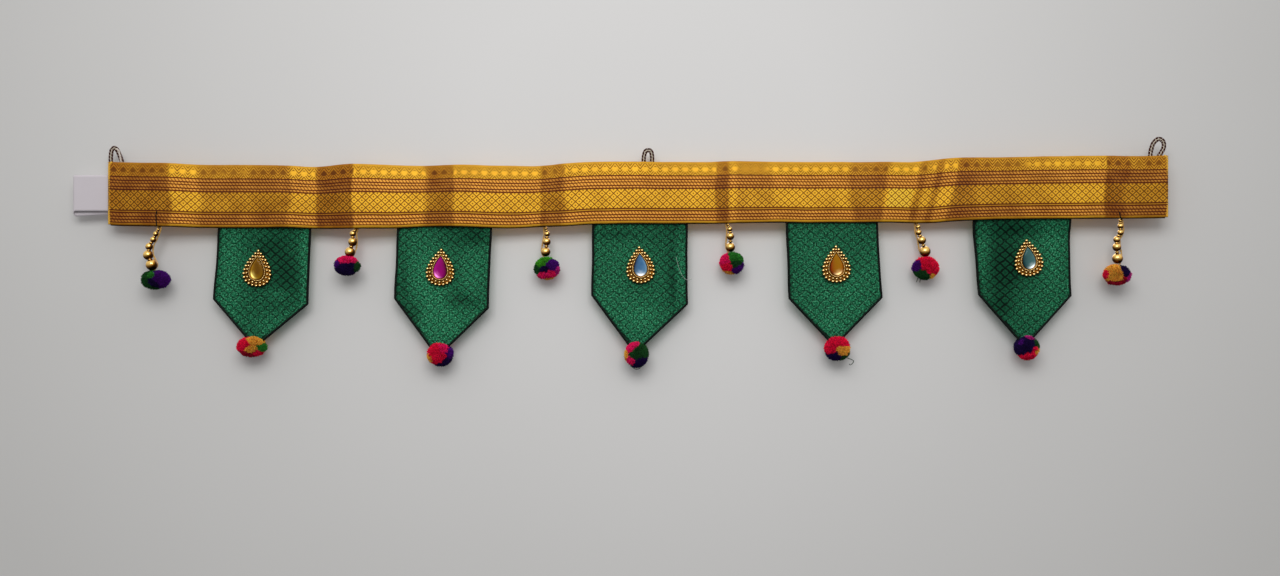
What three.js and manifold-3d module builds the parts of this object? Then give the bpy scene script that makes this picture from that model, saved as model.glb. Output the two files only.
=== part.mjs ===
// A toran: a gold brocade band for the top of a doorway, hung by three cord loops.
// Five pointed green flags with jewelled drops hang under it, and bead strings with pompoms between them.
// Millimetres. +X right, +Y to the wall behind, +Z up. The origin is inside the crown of the middle loop.
import * as THREE from 'three';
import { mergeVertices } from 'three/addons/utils/BufferGeometryUtils.js';
import Module from 'manifold-3d';

const wasm = await Module();
wasm.setup();

// Driving sizes
const GAP = 0.3;
const BAND = { left: -466.5, length: 914, thick: 2, bow: 0.7, step: 10 };
const FLAG = { thick: 1.6, tuck: 8, tipWidth: 2.4, columns: 8, clearStep: 11, settle: 17, creaseWidth: 7 };
const CORD = { radius: 1.3, groove: 0.24, lobes: 3, lay: 8, step: 0.9 };
const THREAD = { radius: 0.7, tuck: 6 };
const LABEL = { right: -459, left: -497.6, top: -20.3, bottom: -51.4, thick: 1, fold: 1.1, slip: 4.3 };
const BROOCH = { width: 25.6, height: 33, plate: 1.5, beads: 24, bead: 2.9 };
const COLLAR = { width: 18.4, height: 25.4, rise: 1.6, slope: 1 };
const GEM = { width: 11.4, height: 19, rise: 4.4, girdle: 1.3, sides: 16 };
const PILE = { coreShare: 0.93, lockEvery: 3, taper: 0.32, reach: 1.03, pressedFrom: 0.8, depth: 21.5 };

// The folds that packing left in the band, a row for each: distance from its left end,
// depth towards the wall, top edge and bottom edge.
const FOLDS = [
  { at: 0, deep: 1.6, top: -9.1, foot: -63.0 },
  { at: 6, deep: 2.1, top: -9.3, foot: -63.4 },
  { at: 54, deep: -2.5, top: -10.5, foot: -64.3 },
  { at: 80, deep: 0.4, top: -11.7, foot: -65.2 },
  { at: 124, deep: 0.8, top: -11.8, foot: -65.3 },
  { at: 156, deep: -1.0, top: -12.5, foot: -65.2 },
  { at: 179, deep: 2.1, top: -13.4, foot: -66.0 },
  { at: 212, deep: -2.4, top: -11.2, foot: -66.0 },
  { at: 250, deep: 0.3, top: -12.1, foot: -65.6 },
  { at: 275, deep: 2.4, top: -12.5, foot: -64.3 },
  { at: 301, deep: -0.9, top: -11.7, foot: -64.3 },
  { at: 345, deep: 1.0, top: -12.5, foot: -65.6 },
  { at: 375, deep: 2.6, top: -12.5, foot: -64.3 },
  { at: 393, deep: -0.7, top: -10.8, foot: -63.9 },
  { at: 425, deep: 0.0, top: -9.1, foot: -62.1 },
  { at: 522, deep: 2.3, top: -9.1, foot: -61.7 },
  { at: 539, deep: 0.4, top: -8.5, foot: -61.3 },
  { at: 572, deep: 0.2, top: -9.1, foot: -60.8 },
  { at: 642, deep: 2.9, top: -9.1, foot: -60.8 },
  { at: 671, deep: -1.2, top: -9.3, foot: -60.7 },
  { at: 697, deep: 2.0, top: -9.1, foot: -61.1 },
  { at: 714, deep: 2.1, top: -7.3, foot: -60.8 },
  { at: 729, deep: 0.8, top: -5.6, foot: -59.6 },
  { at: 765, deep: -2.6, top: -5.6, foot: -58.3 },
  { at: 858, deep: -1.3, top: -3.9, foot: -57.4 },
  { at: 880, deep: -3.3, top: -4.7, foot: -57.4 },
  { at: 914, deep: -3.0, top: -3.9, foot: -57.0 },
];

// The five flags, a row for each: left and right edge at the band, the two shoulders, the tip,
// how far the free cloth stands back, how its sides curl, and its one main crease.
const FLAGS = [
  {
    topLeft: -370.4, topRight: -292.2, leftX: -376.0, leftZ: -127.2, rightX: -295.4, rightZ: -131.4,
    tipX: -339.9, tipZ: -167.5, back: 0.6, curl: 1.2, sway: -1.4,
    crease: { fromX: -360, fromZ: -76, toX: -366, toZ: -126, rise: -0.9 },
  },
  {
    topLeft: -215.8, topRight: -135.5, leftX: -219.0, leftZ: -126.8, rightX: -139.0, rightZ: -135.0,
    tipX: -182.1, tipZ: -175.6, back: 1.0, curl: -1.0, sway: -1.8,
    crease: { fromX: -170, fromZ: -121, toX: -150, toZ: -140, rise: -1.4 },
  },
  {
    topLeft: -47.4, topRight: 33.2, leftX: -48.5, leftZ: -124.0, rightX: 33.2, rightZ: -131.6,
    tipX: -11.5, tipZ: -172.4, back: 0.4, curl: 1.5, sway: -1.2,
    crease: { fromX: 16, fromZ: -80, toX: 24, toZ: -122, rise: -1.0 },
  },
  {
    topLeft: 119.5, topRight: 196.9, leftX: 122.1, leftZ: -126.7, rightX: 201.5, rightZ: -125.8,
    tipX: 160.7, tipZ: -166.5, back: 1.2, curl: -1.2, sway: -1.6,
    crease: { fromX: 140, fromZ: -122, toX: 131, toZ: -136, rise: -1.2 },
  },
  {
    topLeft: 280.0, topRight: 363.6, leftX: 286.3, leftZ: -123.4, rightX: 365.0, rightZ: -124.3,
    tipX: 325.2, tipZ: -166.7, back: 0.2, curl: 1.0, sway: -1.0,
    crease: { fromX: 302, fromZ: -74, toX: 294, toZ: -118, rise: -1.1 },
  },
];

// The jewelled drops, one on each flag: centre, and the lean of the tip to the right in degrees.
const DROPS = [
  { x: -337.6, z: -100.9, lean: 3.6, stone: 0xd08a22 },
  { x: -179.7, z: -100.1, lean: 3.0, stone: 0xc2338a },
  { x: -7.1, z: -98.1, lean: -3.6, stone: 0x9fc3da },
  { x: 162.3, z: -97.4, lean: -1.4, stone: 0xd89a2c },
  { x: 327.8, z: -91.9, lean: -6.0, stone: 0x9aa7b8 },
];

// The six bead strings from their top bead down, each bead as its place and diameter.
const bead = (x, z, size) => ({ x, z, size });
const STRINGS = [
  [
    bead(-422.5, -64.6, 2.4), bead(-422.6, -67.2, 2.8), bead(-424.7, -71.0, 4.7), bead(-426.9, -76.0, 5.2),
    bead(-430.5, -82.0, 6.4), bead(-431.3, -89.3, 8.6), bead(-428.4, -97.7, 9.9),
  ],
  [bead(-252.5, -67.2, 2.8), bead(-254.9, -71.0, 5.4), bead(-255.0, -77.9, 7.8), bead(-257.3, -86.7, 9.0)],
  [bead(-88.7, -66.2, 3.0), bead(-87.7, -70.8, 4.9), bead(-88.1, -77.6, 7.0), bead(-88.9, -86.4, 8.2)],
  [bead(68.9, -63.0, 2.8), bead(70.4, -66.9, 4.4), bead(70.9, -73.0, 6.7), bead(70.9, -82.4, 8.2)],
  [
    bead(232.3, -61.8, 2.6), bead(233.5, -64.9, 4.1), bead(233.9, -69.6, 5.2), bead(236.7, -76.4, 7.2),
    bead(239.5, -86.0, 9.5),
  ],
  [
    bead(406.7, -59.6, 3.0), bead(406.9, -64.3, 5.2), bead(406.9, -69.9, 5.2), bead(403.8, -76.0, 5.9),
    bead(403.8, -82.5, 7.3), bead(404.4, -92.3, 9.1),
  ],
];

// The pompoms, flags' first and then the strings': centre, width and height of the clipped wool.
const POMPOMS = [
  { of: 'flag_1', x: -342.6, z: -168.0, wide: 25.2, tall: 19.0, wool: 0xc06a2a },
  { of: 'flag_2', x: -180.0, z: -174.6, wide: 22.6, tall: 21.5, wool: 0xc22a52 },
  { of: 'flag_3', x: -10.3, z: -174.6, wide: 21.2, tall: 23.6, wool: 0x5f2a5c },
  { of: 'flag_4', x: 163.2, z: -169.6, wide: 22.6, tall: 22.2, wool: 0xc44a2c },
  { of: 'flag_5', x: 327.0, z: -168.6, wide: 21.2, tall: 22.4, wool: 0x8a2a5a },
  { of: 'string_1', x: -425.0, z: -110.2, wide: 24.0, tall: 17.8, wool: 0x46305a },
  { of: 'string_2', x: -259.9, z: -97.9, wide: 22.4, tall: 18.2, wool: 0x8a2344 },
  { of: 'string_3', x: -87.9, z: -100.4, wide: 22.3, tall: 20.7, wool: 0x5a2a50 },
  { of: 'string_4', x: 72.0, z: -95.9, wide: 21.4, tall: 20.3, wool: 0x7a2a52 },
  { of: 'string_5', x: 239.9, z: -99.9, wide: 23.2, tall: 21.2, wool: 0x9a2342 },
  { of: 'string_6', x: 403.8, z: -106.0, wide: 23.4, tall: 19.0, wool: 0xd08a3a },
];

// The loops' routes in the plane of the hanging, from the left foot over the crown to the right foot.
const spot = (x, z) => ({ x, z });
const LOOPS = {
  loop_left: [
    spot(-464.9, -16), spot(-465.3, -9), spot(-465.3, -3.5), spot(-464.6, 1.2), spot(-462.3, 3.3),
    spot(-459.9, 1.6), spot(-457.6, -3.5), spot(-455.7, -9), spot(-454.8, -16),
  ],
  loop_middle: [
    spot(-4.2, -16), spot(-4.2, -9), spot(-3.9, -4), spot(-2.6, 0.2), spot(0, 1.3),
    spot(2.5, 0.1), spot(3.6, -4), spot(3.6, -9), spot(3.5, -16),
  ],
  loop_right: [
    spot(431.4, -11), spot(432.1, -4), spot(433.1, 2), spot(435.0, 7), spot(438.6, 10.3),
    spot(442.2, 9.6), spot(443.9, 6.2), spot(443.4, 2.2), spot(441.2, -1.8), spot(439.4, -5),
    spot(438.8, -11),
  ],
};

const COLOUR = {
  zari: { color: 0xc99235, roughness: 0.42, metalness: 0.55 },
  green: { color: 0x1c4b3a, roughness: 0.62, metalness: 0.05 },
  white: { color: 0xe9e8e4, roughness: 0.8, metalness: 0 },
  cord: { color: 0x4a2c1c, roughness: 0.7, metalness: 0.1 },
  goldBead: { color: 0xd9a544, roughness: 0.28, metalness: 0.85 },
};

// Turns a mesh with shared corners into a solid that can be joined and cut.
function solidOf(geometry) {
  const bare = geometry.clone();
  bare.deleteAttribute('normal');
  bare.deleteAttribute('uv');
  const merged = mergeVertices(bare);
  const vertProperties = new Float32Array(merged.attributes.position.array);
  const triVerts = new Uint32Array(merged.index.array);
  return new wasm.Manifold(new wasm.Mesh({ numProp: 3, vertProperties, triVerts }));
}

function geometryOf(solid) {
  const mesh = solid.getMesh();
  const geometry = new THREE.BufferGeometry();
  geometry.setAttribute('position', new THREE.BufferAttribute(mesh.vertProperties, 3));
  geometry.setIndex(new THREE.BufferAttribute(mesh.triVerts, 1));
  geometry.computeVertexNormals();
  return geometry;
}

function joined(geometries) {
  return geometries.map(solidOf).reduce((whole, piece) => whole.add(piece));
}

// Skins a row of rings that hold the same number of points, and closes both ends.
function loft(rings) {
  const around = rings[0].length;
  const faces = [];
  for (let r = 0; r + 1 < rings.length; r += 1) {
    for (let k = 0; k < around; k += 1) {
      const here = r * around + k;
      const next = r * around + (k + 1) % around;
      faces.push([here, next, next + around], [here, next + around, here + around]);
    }
  }
  const close = (start, forward) => {
    let low = 0;
    let high = around - 1;
    while (low + 1 < high) {
      const pair = [[low, high, low + 1], [low + 1, high, high - 1]];
      for (const [a, b, c] of high - low > 2 ? pair : pair.slice(0, 1)) {
        faces.push(forward ? [start + a, start + b, start + c] : [start + a, start + c, start + b]);
      }
      low += 1;
      high -= 1;
    }
  };
  close(0, true);
  close((rings.length - 1) * around, false);
  const points = rings.flat();
  const sixth = ([a, b, c]) => points[a].dot(points[b].clone().cross(points[c]));
  const volume = faces.reduce((sum, face) => sum + sixth(face), 0);
  const outward = volume > 0 ? faces : faces.map(([a, b, c]) => [a, c, b]);
  const geometry = new THREE.BufferGeometry();
  geometry.setAttribute('position', new THREE.Float32BufferAttribute(points.flatMap((p) => p.toArray()), 3));
  geometry.setIndex(outward.flat());
  geometry.computeVertexNormals();
  return geometry;
}

// Gives a row of points on the middle of a cloth its front and its back, as one ring.
function through(points, thick) {
  const front = points.map((p) => new THREE.Vector3(p.x, p.y - thick / 2, p.z));
  const back = points.map((p) => new THREE.Vector3(p.x, p.y + thick / 2, p.z));
  return [...front, ...back.reverse()];
}

// Reads one column of a table at any distance along it, as a soft curve through its rows.
function soft(rows, column, at) {
  const last = rows.length - 1;
  let i = 0;
  while (i < last - 1 && rows[i + 1].at <= at) i += 1;
  const near = [Math.max(i - 1, 0), i, i + 1, Math.min(i + 2, last)];
  const [before, from, to, after] = near.map((k) => rows[k]);
  const span = to.at - from.at;
  const t = THREE.MathUtils.clamp((at - from.at) / span, 0, 1);
  const leaving = (span * (to[column] - before[column])) / (to.at - before.at);
  const arriving = (span * (after[column] - from[column])) / (after.at - from.at);
  const start = (2 * t ** 3 - 3 * t ** 2 + 1) * from[column] + (t ** 3 - 2 * t ** 2 + t) * leaving;
  const end = (3 * t ** 2 - 2 * t ** 3) * to[column] + (t ** 3 - t ** 2) * arriving;
  return start + end;
}

const foldDepth = (x) => soft(FOLDS, 'deep', x - BAND.left);
const bandTop = (x) => soft(FOLDS, 'top', x - BAND.left);
const bandFoot = (x) => soft(FOLDS, 'foot', x - BAND.left);

// The middle loop's plane is y = 0, so the band lies in front of it by half its own thickness,
// a gap and the cord.
const SETBACK = foldDepth(0) + BAND.thick / 2 + GAP + CORD.radius;
const bandY = (x) => foldDepth(x) - SETBACK;

// The first free depth behind the band, clear of its folds for a reach to each side.
function behindBand(x, reach) {
  let deepest = -Infinity;
  for (let share = -1; share <= 1; share += 0.25) {
    deepest = Math.max(deepest, bandY(x + share * reach));
  }
  return deepest + BAND.thick / 2 + GAP;
}

// The band: one woven strip, a little bowed across, with its packing folds.
function makeBand() {
  const count = Math.round(BAND.length / BAND.step);
  const rings = [];
  for (let i = 0; i <= count; i += 1) {
    const x = BAND.left + (BAND.length * i) / count;
    const top = bandTop(x);
    const foot = bandFoot(x);
    const heights = [0, 0.5, 1].map((share) => ({
      z: THREE.MathUtils.lerp(top, foot, share),
      bow: BAND.bow * Math.sin(Math.PI * share),
    }));
    const middle = heights.map(({ z, bow }) => new THREE.Vector3(x, bandY(x) - bow, z));
    rings.push(through(middle, BAND.thick));
  }
  return loft(rings);
}

// How far a soft crease lifts the cloth at a point beside it.
function creaseLift(crease, x, z) {
  const run = new THREE.Vector2(crease.toX - crease.fromX, crease.toZ - crease.fromZ);
  const from = new THREE.Vector2(x - crease.fromX, z - crease.fromZ);
  const share = THREE.MathUtils.clamp(from.dot(run) / run.lengthSq(), 0, 1);
  const away = from.distanceTo(run.multiplyScalar(share));
  return crease.rise * Math.exp(-((away / FLAG.creaseWidth) ** 2));
}

// The depth of a flag's cloth: on the back of the band at the top, then free,
// with curled sides and a swaying tip.
function flagDepth(flag, x, z, across) {
  const tucked = behindBand(x, FLAG.clearStep) + FLAG.thick / 2;
  const side = Math.abs(2 * across - 1) ** 3;
  const below = Math.max(0, flag.leftZ - z) / (flag.leftZ - flag.tipZ);
  const curled = flag.curl * side * (1 - below) ** 2;
  const free = flag.back + curled + flag.sway * below ** 2 + creaseLift(flag.crease, x, z);
  const settled = THREE.MathUtils.smoothstep(bandFoot(x) - z, 1, FLAG.settle);
  return THREE.MathUtils.lerp(tucked, free, settled);
}

// A flag, or with some growth the room that it needs inside the wool of its pompom.
function makeFlag(flag, growth) {
  const rows = [
    ...[0, 0.12, 0.2, 0.32, 0.5, 0.75, 1].map((down) => ({ down, point: 0 })),
    ...[0.25, 0.5, 0.75, 1].map((point) => ({ down: 1, point })),
  ];
  const top = bandFoot((flag.topLeft + flag.topRight) / 2) + FLAG.tuck;
  const rings = rows.map(({ down, point }) => {
    const half = FLAG.tipWidth / 2;
    const edge = (topX, shoulderX, shoulderZ, tipX) => new THREE.Vector2(
      THREE.MathUtils.lerp(THREE.MathUtils.lerp(topX, shoulderX, down), tipX, point),
      THREE.MathUtils.lerp(THREE.MathUtils.lerp(top, shoulderZ, down), flag.tipZ - growth, point),
    );
    const left = edge(flag.topLeft - growth, flag.leftX - growth, flag.leftZ, flag.tipX - half - growth);
    const right = edge(flag.topRight + growth, flag.rightX + growth, flag.rightZ, flag.tipX + half + growth);
    const middle = [];
    for (let c = 0; c <= FLAG.columns; c += 1) {
      const across = c / FLAG.columns;
      const place = left.clone().lerp(right, across);
      middle.push(new THREE.Vector3(place.x, flagDepth(flag, place.x, place.y, across), place.y));
    }
    return through(middle, FLAG.thick + 2 * growth);
  });
  return loft(rings);
}

// A hanging loop: a cord of three twisted strands, its feet sewn to the back of the band.
function makeLoop(route) {
  const points = route.map(({ x, z }) => new THREE.Vector3(x, behindBand(x, CORD.radius) + CORD.radius, z));
  const path = new THREE.CatmullRomCurve3(points, false, 'centripetal');
  const steps = Math.round(path.getLength() / CORD.step);
  const corners = 2 * CORD.lobes;
  const rings = [];
  for (let i = 0; i <= steps; i += 1) {
    const centre = path.getPointAt(i / steps);
    const along = path.getTangentAt(i / steps);
    const side = new THREE.Vector3(0, 1, 0).cross(along).normalize();
    const out = along.clone().cross(side);
    const twist = (2 * Math.PI * i * CORD.step) / CORD.lay;
    const ring = [];
    for (let k = 0; k < corners; k += 1) {
      const angle = (2 * Math.PI * k) / corners + twist;
      const reach = CORD.radius - (k % 2) * CORD.groove;
      const corner = centre.clone().addScaledVector(side, reach * Math.cos(angle));
      ring.push(corner.addScaledVector(out, reach * Math.sin(angle)));
    }
    rings.push(ring);
  }
  return loft(rings);
}

// The folded ribbon label: two layers behind the band's left end, joined at the fold,
// the back one slipped down.
function makeLabel() {
  const front = behindBand(LABEL.right, -LABEL.right + BAND.left) + LABEL.thick / 2;
  const back = front + 2 * LABEL.fold;
  const bend = LABEL.left + LABEL.fold + LABEL.thick / 2;
  const strip = [];
  for (let share = 0; share <= 1; share += 0.25) {
    strip.push({ x: THREE.MathUtils.lerp(LABEL.right, bend, share), y: front, slip: 0, out: [0, -1] });
  }
  for (let turn = 45; turn < 180; turn += 45) {
    const angle = THREE.MathUtils.degToRad(turn);
    strip.push({
      x: bend - LABEL.fold * Math.sin(angle), y: front + LABEL.fold * (1 - Math.cos(angle)),
      slip: (LABEL.slip * turn) / 180, out: [-Math.sin(angle), -Math.cos(angle)],
    });
  }
  for (let share = 0; share <= 1; share += 0.5) {
    const x = THREE.MathUtils.lerp(bend, LABEL.right, share);
    strip.push({ x, y: back, slip: LABEL.slip * (1 - share / 2), out: [0, 1] });
  }
  const half = LABEL.thick / 2;
  return loft(strip.map(({ x, y, slip, out }) => [
    new THREE.Vector3(x + half * out[0], y + half * out[1], LABEL.top - slip),
    new THREE.Vector3(x - half * out[0], y - half * out[1], LABEL.top - slip),
    new THREE.Vector3(x - half * out[0], y - half * out[1], LABEL.bottom - slip),
    new THREE.Vector3(x + half * out[0], y + half * out[1], LABEL.bottom - slip),
  ]));
}

// The turn that brings an upright cylinder or cone to a given way.
function turnedTo(way) {
  return new THREE.Quaternion().setFromUnitVectors(new THREE.Vector3(0, 1, 0), way);
}

// A straight piece of doubled thread between two places.
function threadBetween(from, to) {
  const run = to.clone().sub(from);
  const thread = new THREE.CylinderGeometry(THREAD.radius, THREAD.radius, run.length(), 5);
  thread.applyQuaternion(turnedTo(run.clone().normalize()));
  return thread.translate(...from.clone().addScaledVector(run, 0.5).toArray());
}

const stringY = (beads) => behindBand(beads[0].x, beads[0].size) + beads[0].size / 2;

// A bead, with more facets the larger it is.
function ball(size) {
  const around = size < 4 ? 6 : size < 7 ? 8 : 9;
  return new THREE.SphereGeometry(size / 2, around, Math.ceil(around / 2) + 1);
}

// A string of beads, its thread sewn to the back of the band.
function makeString(beads) {
  const y = stringY(beads);
  const places = beads.map(({ x, z }) => new THREE.Vector3(x, y, z));
  const { x } = beads[0];
  const sewn = new THREE.Vector3(x, behindBand(x, THREAD.radius) + THREAD.radius, bandFoot(x) + THREAD.tuck);
  const threads = [sewn, ...places].slice(0, -1).map((from, i) => threadBetween(from, places[i]));
  const beadsHung = beads.map(({ size }, i) => ball(size).translate(...places[i].toArray()));
  return geometryOf(joined([...threads, ...beadsHung]));
}

// A pompom of clipped wool: a ball of even triangles, every third of them raised into a blunt lock,
// but none where it is pressed.
function makeWool(pompom, y, pressed) {
  const size = new THREE.Vector3(pompom.wide / 2, PILE.depth / 2, pompom.tall / 2);
  const even = new THREE.IcosahedronGeometry(1, 1).attributes.position;
  const skin = [];
  for (let face = 0; face < even.count / 3; face += 1) {
    const root = [0, 1, 2].map((k) => new THREE.Vector3().fromBufferAttribute(even, 3 * face + k));
    const middle = root[0].clone().add(root[1]).add(root[2]).normalize();
    root.forEach((corner) => corner.multiplyScalar(PILE.coreShare));
    const isLock = face % PILE.lockEvery === 0 && middle.dot(pressed) < PILE.pressedFrom;
    const tip = root.map((corner) => corner.clone().lerp(middle, PILE.taper).setLength(PILE.reach));
    const sides = [0, 1, 2].flatMap((k) => {
      const next = (k + 1) % 3;
      return [root[k], root[next], tip[next], root[k], tip[next], tip[k]];
    });
    skin.push(...(isLock ? [...sides, ...tip] : root));
  }
  const ball = new THREE.BufferGeometry();
  ball.setAttribute('position', new THREE.Float32BufferAttribute(skin.flatMap((p) => p.toArray()), 3));
  return solidOf(ball.scale(...size.toArray()).translate(pompom.x, y, pompom.z));
}

// Evenly spaced corners round a teardrop with its tip up, widest below the middle.
function teardrop(width, height, count) {
  const widest = 0.77;
  const rim = Array.from({ length: 61 }, (_, i) => {
    const turn = (2 * Math.PI * i) / 60;
    const reach = (Math.sin(turn) * Math.sin(turn / 2)) / widest;
    return new THREE.Vector2((width / 2) * reach, (height / 2) * Math.cos(turn));
  });
  return new THREE.SplineCurve(rim).getSpacedPoints(count).slice(0, -1);
}

// The metal of a drop, in rings from its back to the bed of the stone:
// a plate with a row of beads round its rim, then a raised collar round the stone.
function makeSetting() {
  const { width, height, plate, bead: round } = BROOCH;
  const ring = (wide, tall, depth) => teardrop(wide, tall, 2 * BROOCH.beads)
    .map(({ x, y }) => new THREE.Vector3(x, -depth, y));
  const beaded = (full, dented) => full.map((corner, k) => (k % 2 ? dented[k] : corner));
  const seat = [GEM.width + 2 * GAP, GEM.height + 2 * GAP];
  const inset = (by, depth) => ring(width - by, height - by, depth);
  return loft([
    beaded(inset(1, 0), inset(round, 0)),
    beaded(inset(0, plate), inset(round / 2, plate)),
    beaded(inset(round, plate + round / 2), inset(round, plate + round / 6)),
    beaded(inset(2 * round, plate), inset(1.5 * round, plate)),
    ring(COLLAR.width, COLLAR.height, plate),
    ring(COLLAR.width - COLLAR.slope, COLLAR.height - COLLAR.slope, plate + COLLAR.rise),
    ring(...seat, plate + COLLAR.rise),
    ring(...seat, plate),
  ]);
}

// The stone: a pear cut with a narrow girdle, one sloping row of facets and a flat table.
function makeStone() {
  const ring = (share, depth) => teardrop(GEM.width * share, GEM.height * share, GEM.sides)
    .map(({ x, y }) => new THREE.Vector3(x, -depth, y - (1 - share) * 1.2));
  const seat = BROOCH.plate + GAP;
  const shoulder = seat + (GEM.girdle + GEM.rise) / 2;
  return loft([ring(0.98, seat), ring(1, seat + GEM.girdle), ring(0.8, shoulder), ring(0.45, seat + GEM.rise)]);
}

const toran = new THREE.Group();
toran.name = 'toran_door_hanging';

function add(name, geometry, look, parent = toran) {
  const mesh = new THREE.Mesh(geometry, new THREE.MeshStandardMaterial(look));
  mesh.name = name;
  parent.add(mesh);
  return mesh;
}

add('band', makeBand(), COLOUR.zari);
add('label', makeLabel(), COLOUR.white);
Object.entries(LOOPS).forEach(([name, route]) => add(name, makeLoop(route), COLOUR.cord));

FLAGS.forEach((flag, i) => {
  const drop = DROPS[i];
  const pompom = POMPOMS[i];
  add(`flag_${i + 1}`, makeFlag(flag, 0), COLOUR.green);
  const brooch = new THREE.Group();
  brooch.position.set(drop.x, flag.back - FLAG.thick / 2 - GAP, drop.z);
  brooch.rotation.y = THREE.MathUtils.degToRad(drop.lean);
  add(`brooch_setting_${i + 1}`, makeSetting(), COLOUR.goldBead, brooch);
  add(`brooch_stone_${i + 1}`, makeStone(), { color: drop.stone, roughness: 0.12, metalness: 0 }, brooch);
  toran.add(brooch);
  const y = flagDepth(flag, flag.tipX, flag.tipZ, 0.5);
  const wool = makeWool(pompom, y, new THREE.Vector3(0, 0, 1)).subtract(solidOf(makeFlag(flag, GAP)));
  add(`pompom_${pompom.of}`, geometryOf(wool), { color: pompom.wool, roughness: 0.95, metalness: 0 });
});

STRINGS.forEach((beads, i) => {
  const pompom = POMPOMS[FLAGS.length + i];
  const lowest = beads.at(-1);
  const y = stringY(beads);
  const pressed = new THREE.Vector3(lowest.x - pompom.x, 0, lowest.z - pompom.z).normalize();
  const dimple = solidOf(ball(lowest.size + 2 * GAP).translate(lowest.x, y, lowest.z));
  add(`bead_string_${i + 1}`, makeString(beads), COLOUR.goldBead);
  const wool = makeWool(pompom, y, pressed).subtract(dimple);
  add(`pompom_${pompom.of}`, geometryOf(wool), { color: pompom.wool, roughness: 0.95, metalness: 0 });
});

export default toran;
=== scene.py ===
"""A toran door hanging: a gold brocade band with green flags, jewelled drops, bead strings and pompoms."""
import math
import random

import bmesh
import bpy
import numpy as np
from mathutils import Matrix, Vector, noise
from mathutils.bvhtree import BVHTree


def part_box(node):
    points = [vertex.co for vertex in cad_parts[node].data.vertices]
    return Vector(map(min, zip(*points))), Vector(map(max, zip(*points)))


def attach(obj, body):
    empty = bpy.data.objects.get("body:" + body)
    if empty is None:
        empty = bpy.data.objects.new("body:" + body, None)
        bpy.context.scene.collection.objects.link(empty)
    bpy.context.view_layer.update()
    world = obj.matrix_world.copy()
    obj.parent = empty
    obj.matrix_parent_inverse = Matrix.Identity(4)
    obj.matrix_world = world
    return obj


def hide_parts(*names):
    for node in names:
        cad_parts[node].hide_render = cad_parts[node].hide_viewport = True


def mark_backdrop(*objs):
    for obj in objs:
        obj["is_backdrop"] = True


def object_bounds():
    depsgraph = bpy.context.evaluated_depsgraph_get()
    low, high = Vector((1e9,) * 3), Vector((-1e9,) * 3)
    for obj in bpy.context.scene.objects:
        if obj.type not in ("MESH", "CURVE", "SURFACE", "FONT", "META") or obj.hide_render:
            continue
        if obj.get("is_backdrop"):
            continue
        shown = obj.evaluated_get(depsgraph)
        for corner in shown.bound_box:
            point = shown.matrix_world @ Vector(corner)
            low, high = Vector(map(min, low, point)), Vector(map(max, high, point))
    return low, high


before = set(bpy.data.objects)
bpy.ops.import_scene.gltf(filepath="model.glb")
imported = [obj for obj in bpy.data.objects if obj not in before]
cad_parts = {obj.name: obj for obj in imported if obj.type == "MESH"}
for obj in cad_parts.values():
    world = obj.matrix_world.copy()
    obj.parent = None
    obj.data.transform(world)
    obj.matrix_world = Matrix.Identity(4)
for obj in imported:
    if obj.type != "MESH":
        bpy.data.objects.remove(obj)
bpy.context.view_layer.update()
MM = 0.001
FRONT = Vector((0, -1, 0))
# Without a seed, noise vectors start from the clock and differ each run
noise.seed_set(7)

# The photograph's view: 1280 by 576 pixels, 0.863 mm each at the hanging
PHOTO_WIDTH, PHOTO_HEIGHT = 1280, 576
PIXEL = 0.8633 * MM
ORIGIN_PIXEL = (648.5, 151.5)
FACE_DEPTH = -2 * MM
VIEW_ANGLE = math.radians(55)


def at_pixel(px, py, y=0.0):
    """The place on the hanging's plane that a pixel of the photograph shows."""
    return Vector(((px - ORIGIN_PIXEL[0]) * PIXEL, y, (ORIGIN_PIXEL[1] - py) * PIXEL))


# Colours of the dyed and plated finishes, as sRGB hex. The _LIT, _SHADE and _GLINT colours are lit and
# shaded copies of one thread or plate, blended by painted light, shade and highlights
GOLD_ZARI_LIT = "#FFBE30"
GOLD_ZARI_GLINT = "#FFD142"
GOLD_ZARI_SHADE = "#BC7618"
COPPER_ZARI_LIT = "#F4A24A"
COPPER_ZARI_SHADE = "#86481A"
MAROON_WEFT_SHADE = "#4E1C08"
MAROON_LIT = "#6C2E06"
BROWN_WEFT = "#422402"
GREEN_SATIN_LIT = "#146E48"
GREEN_SHADE = "#0F4A30"
GREEN_GROUND = "#020D08"
GREEN_GLINT = "#66CC9A"
GREEN_LINE_LIT = "#104229"
GREEN_BINDING = "#050E0A"
GOLD_PLATE_LIT = "#FFDE94"
GOLD_PLATE_HALF_SHADE = "#C8862C"
PLATE_PAINTED_SHADE = "#4E2C08"
SETTING_PLATE_SHADE = "#915E1B"
RIBBON_WHITE = "#D6CFD4"
RIBBON_SHADE = "#C6BFC4"
CORD_BROWN = "#401608"
CORD_GOLD = "#F2E6CE"
CORD_SILVER = "#EFE4DA"
BLACK_THREAD = "#15120F"
GOLD_THREAD = "#E2B466"
GOLD_EDGING = "#F5BE44"
DARK_FOOT_LINE = "#1C0E08"
BEAD_PLATE_LIT = "#FFD27A"
WOOL_END = "#1D3A22"
WHITE_HAIR = "#B8C4BC"
# Paint near the middle, and the darker paint far from it as painted light falloff
WALL_PAINT_AND_FALLOFF = ("#DDDCDB", "#C9C8C6")
FLOOR_PAINT_AND_FALLOFF = ("#D5D5D4", "#CFCFCE")
WOOL = {
    "red": "#EE1440",
    "pink": "#F01A60",
    "dark_red": "#A8122E",
    "orange": "#FFA840",
    "green": "#2C7A2A",
    "dark_green": "#1C4A22",
    "olive": "#3E9420",
    "magenta": "#B8247E",
    "purple": "#4A0F70",
    "navy": "#1E0C40",
}
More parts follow.
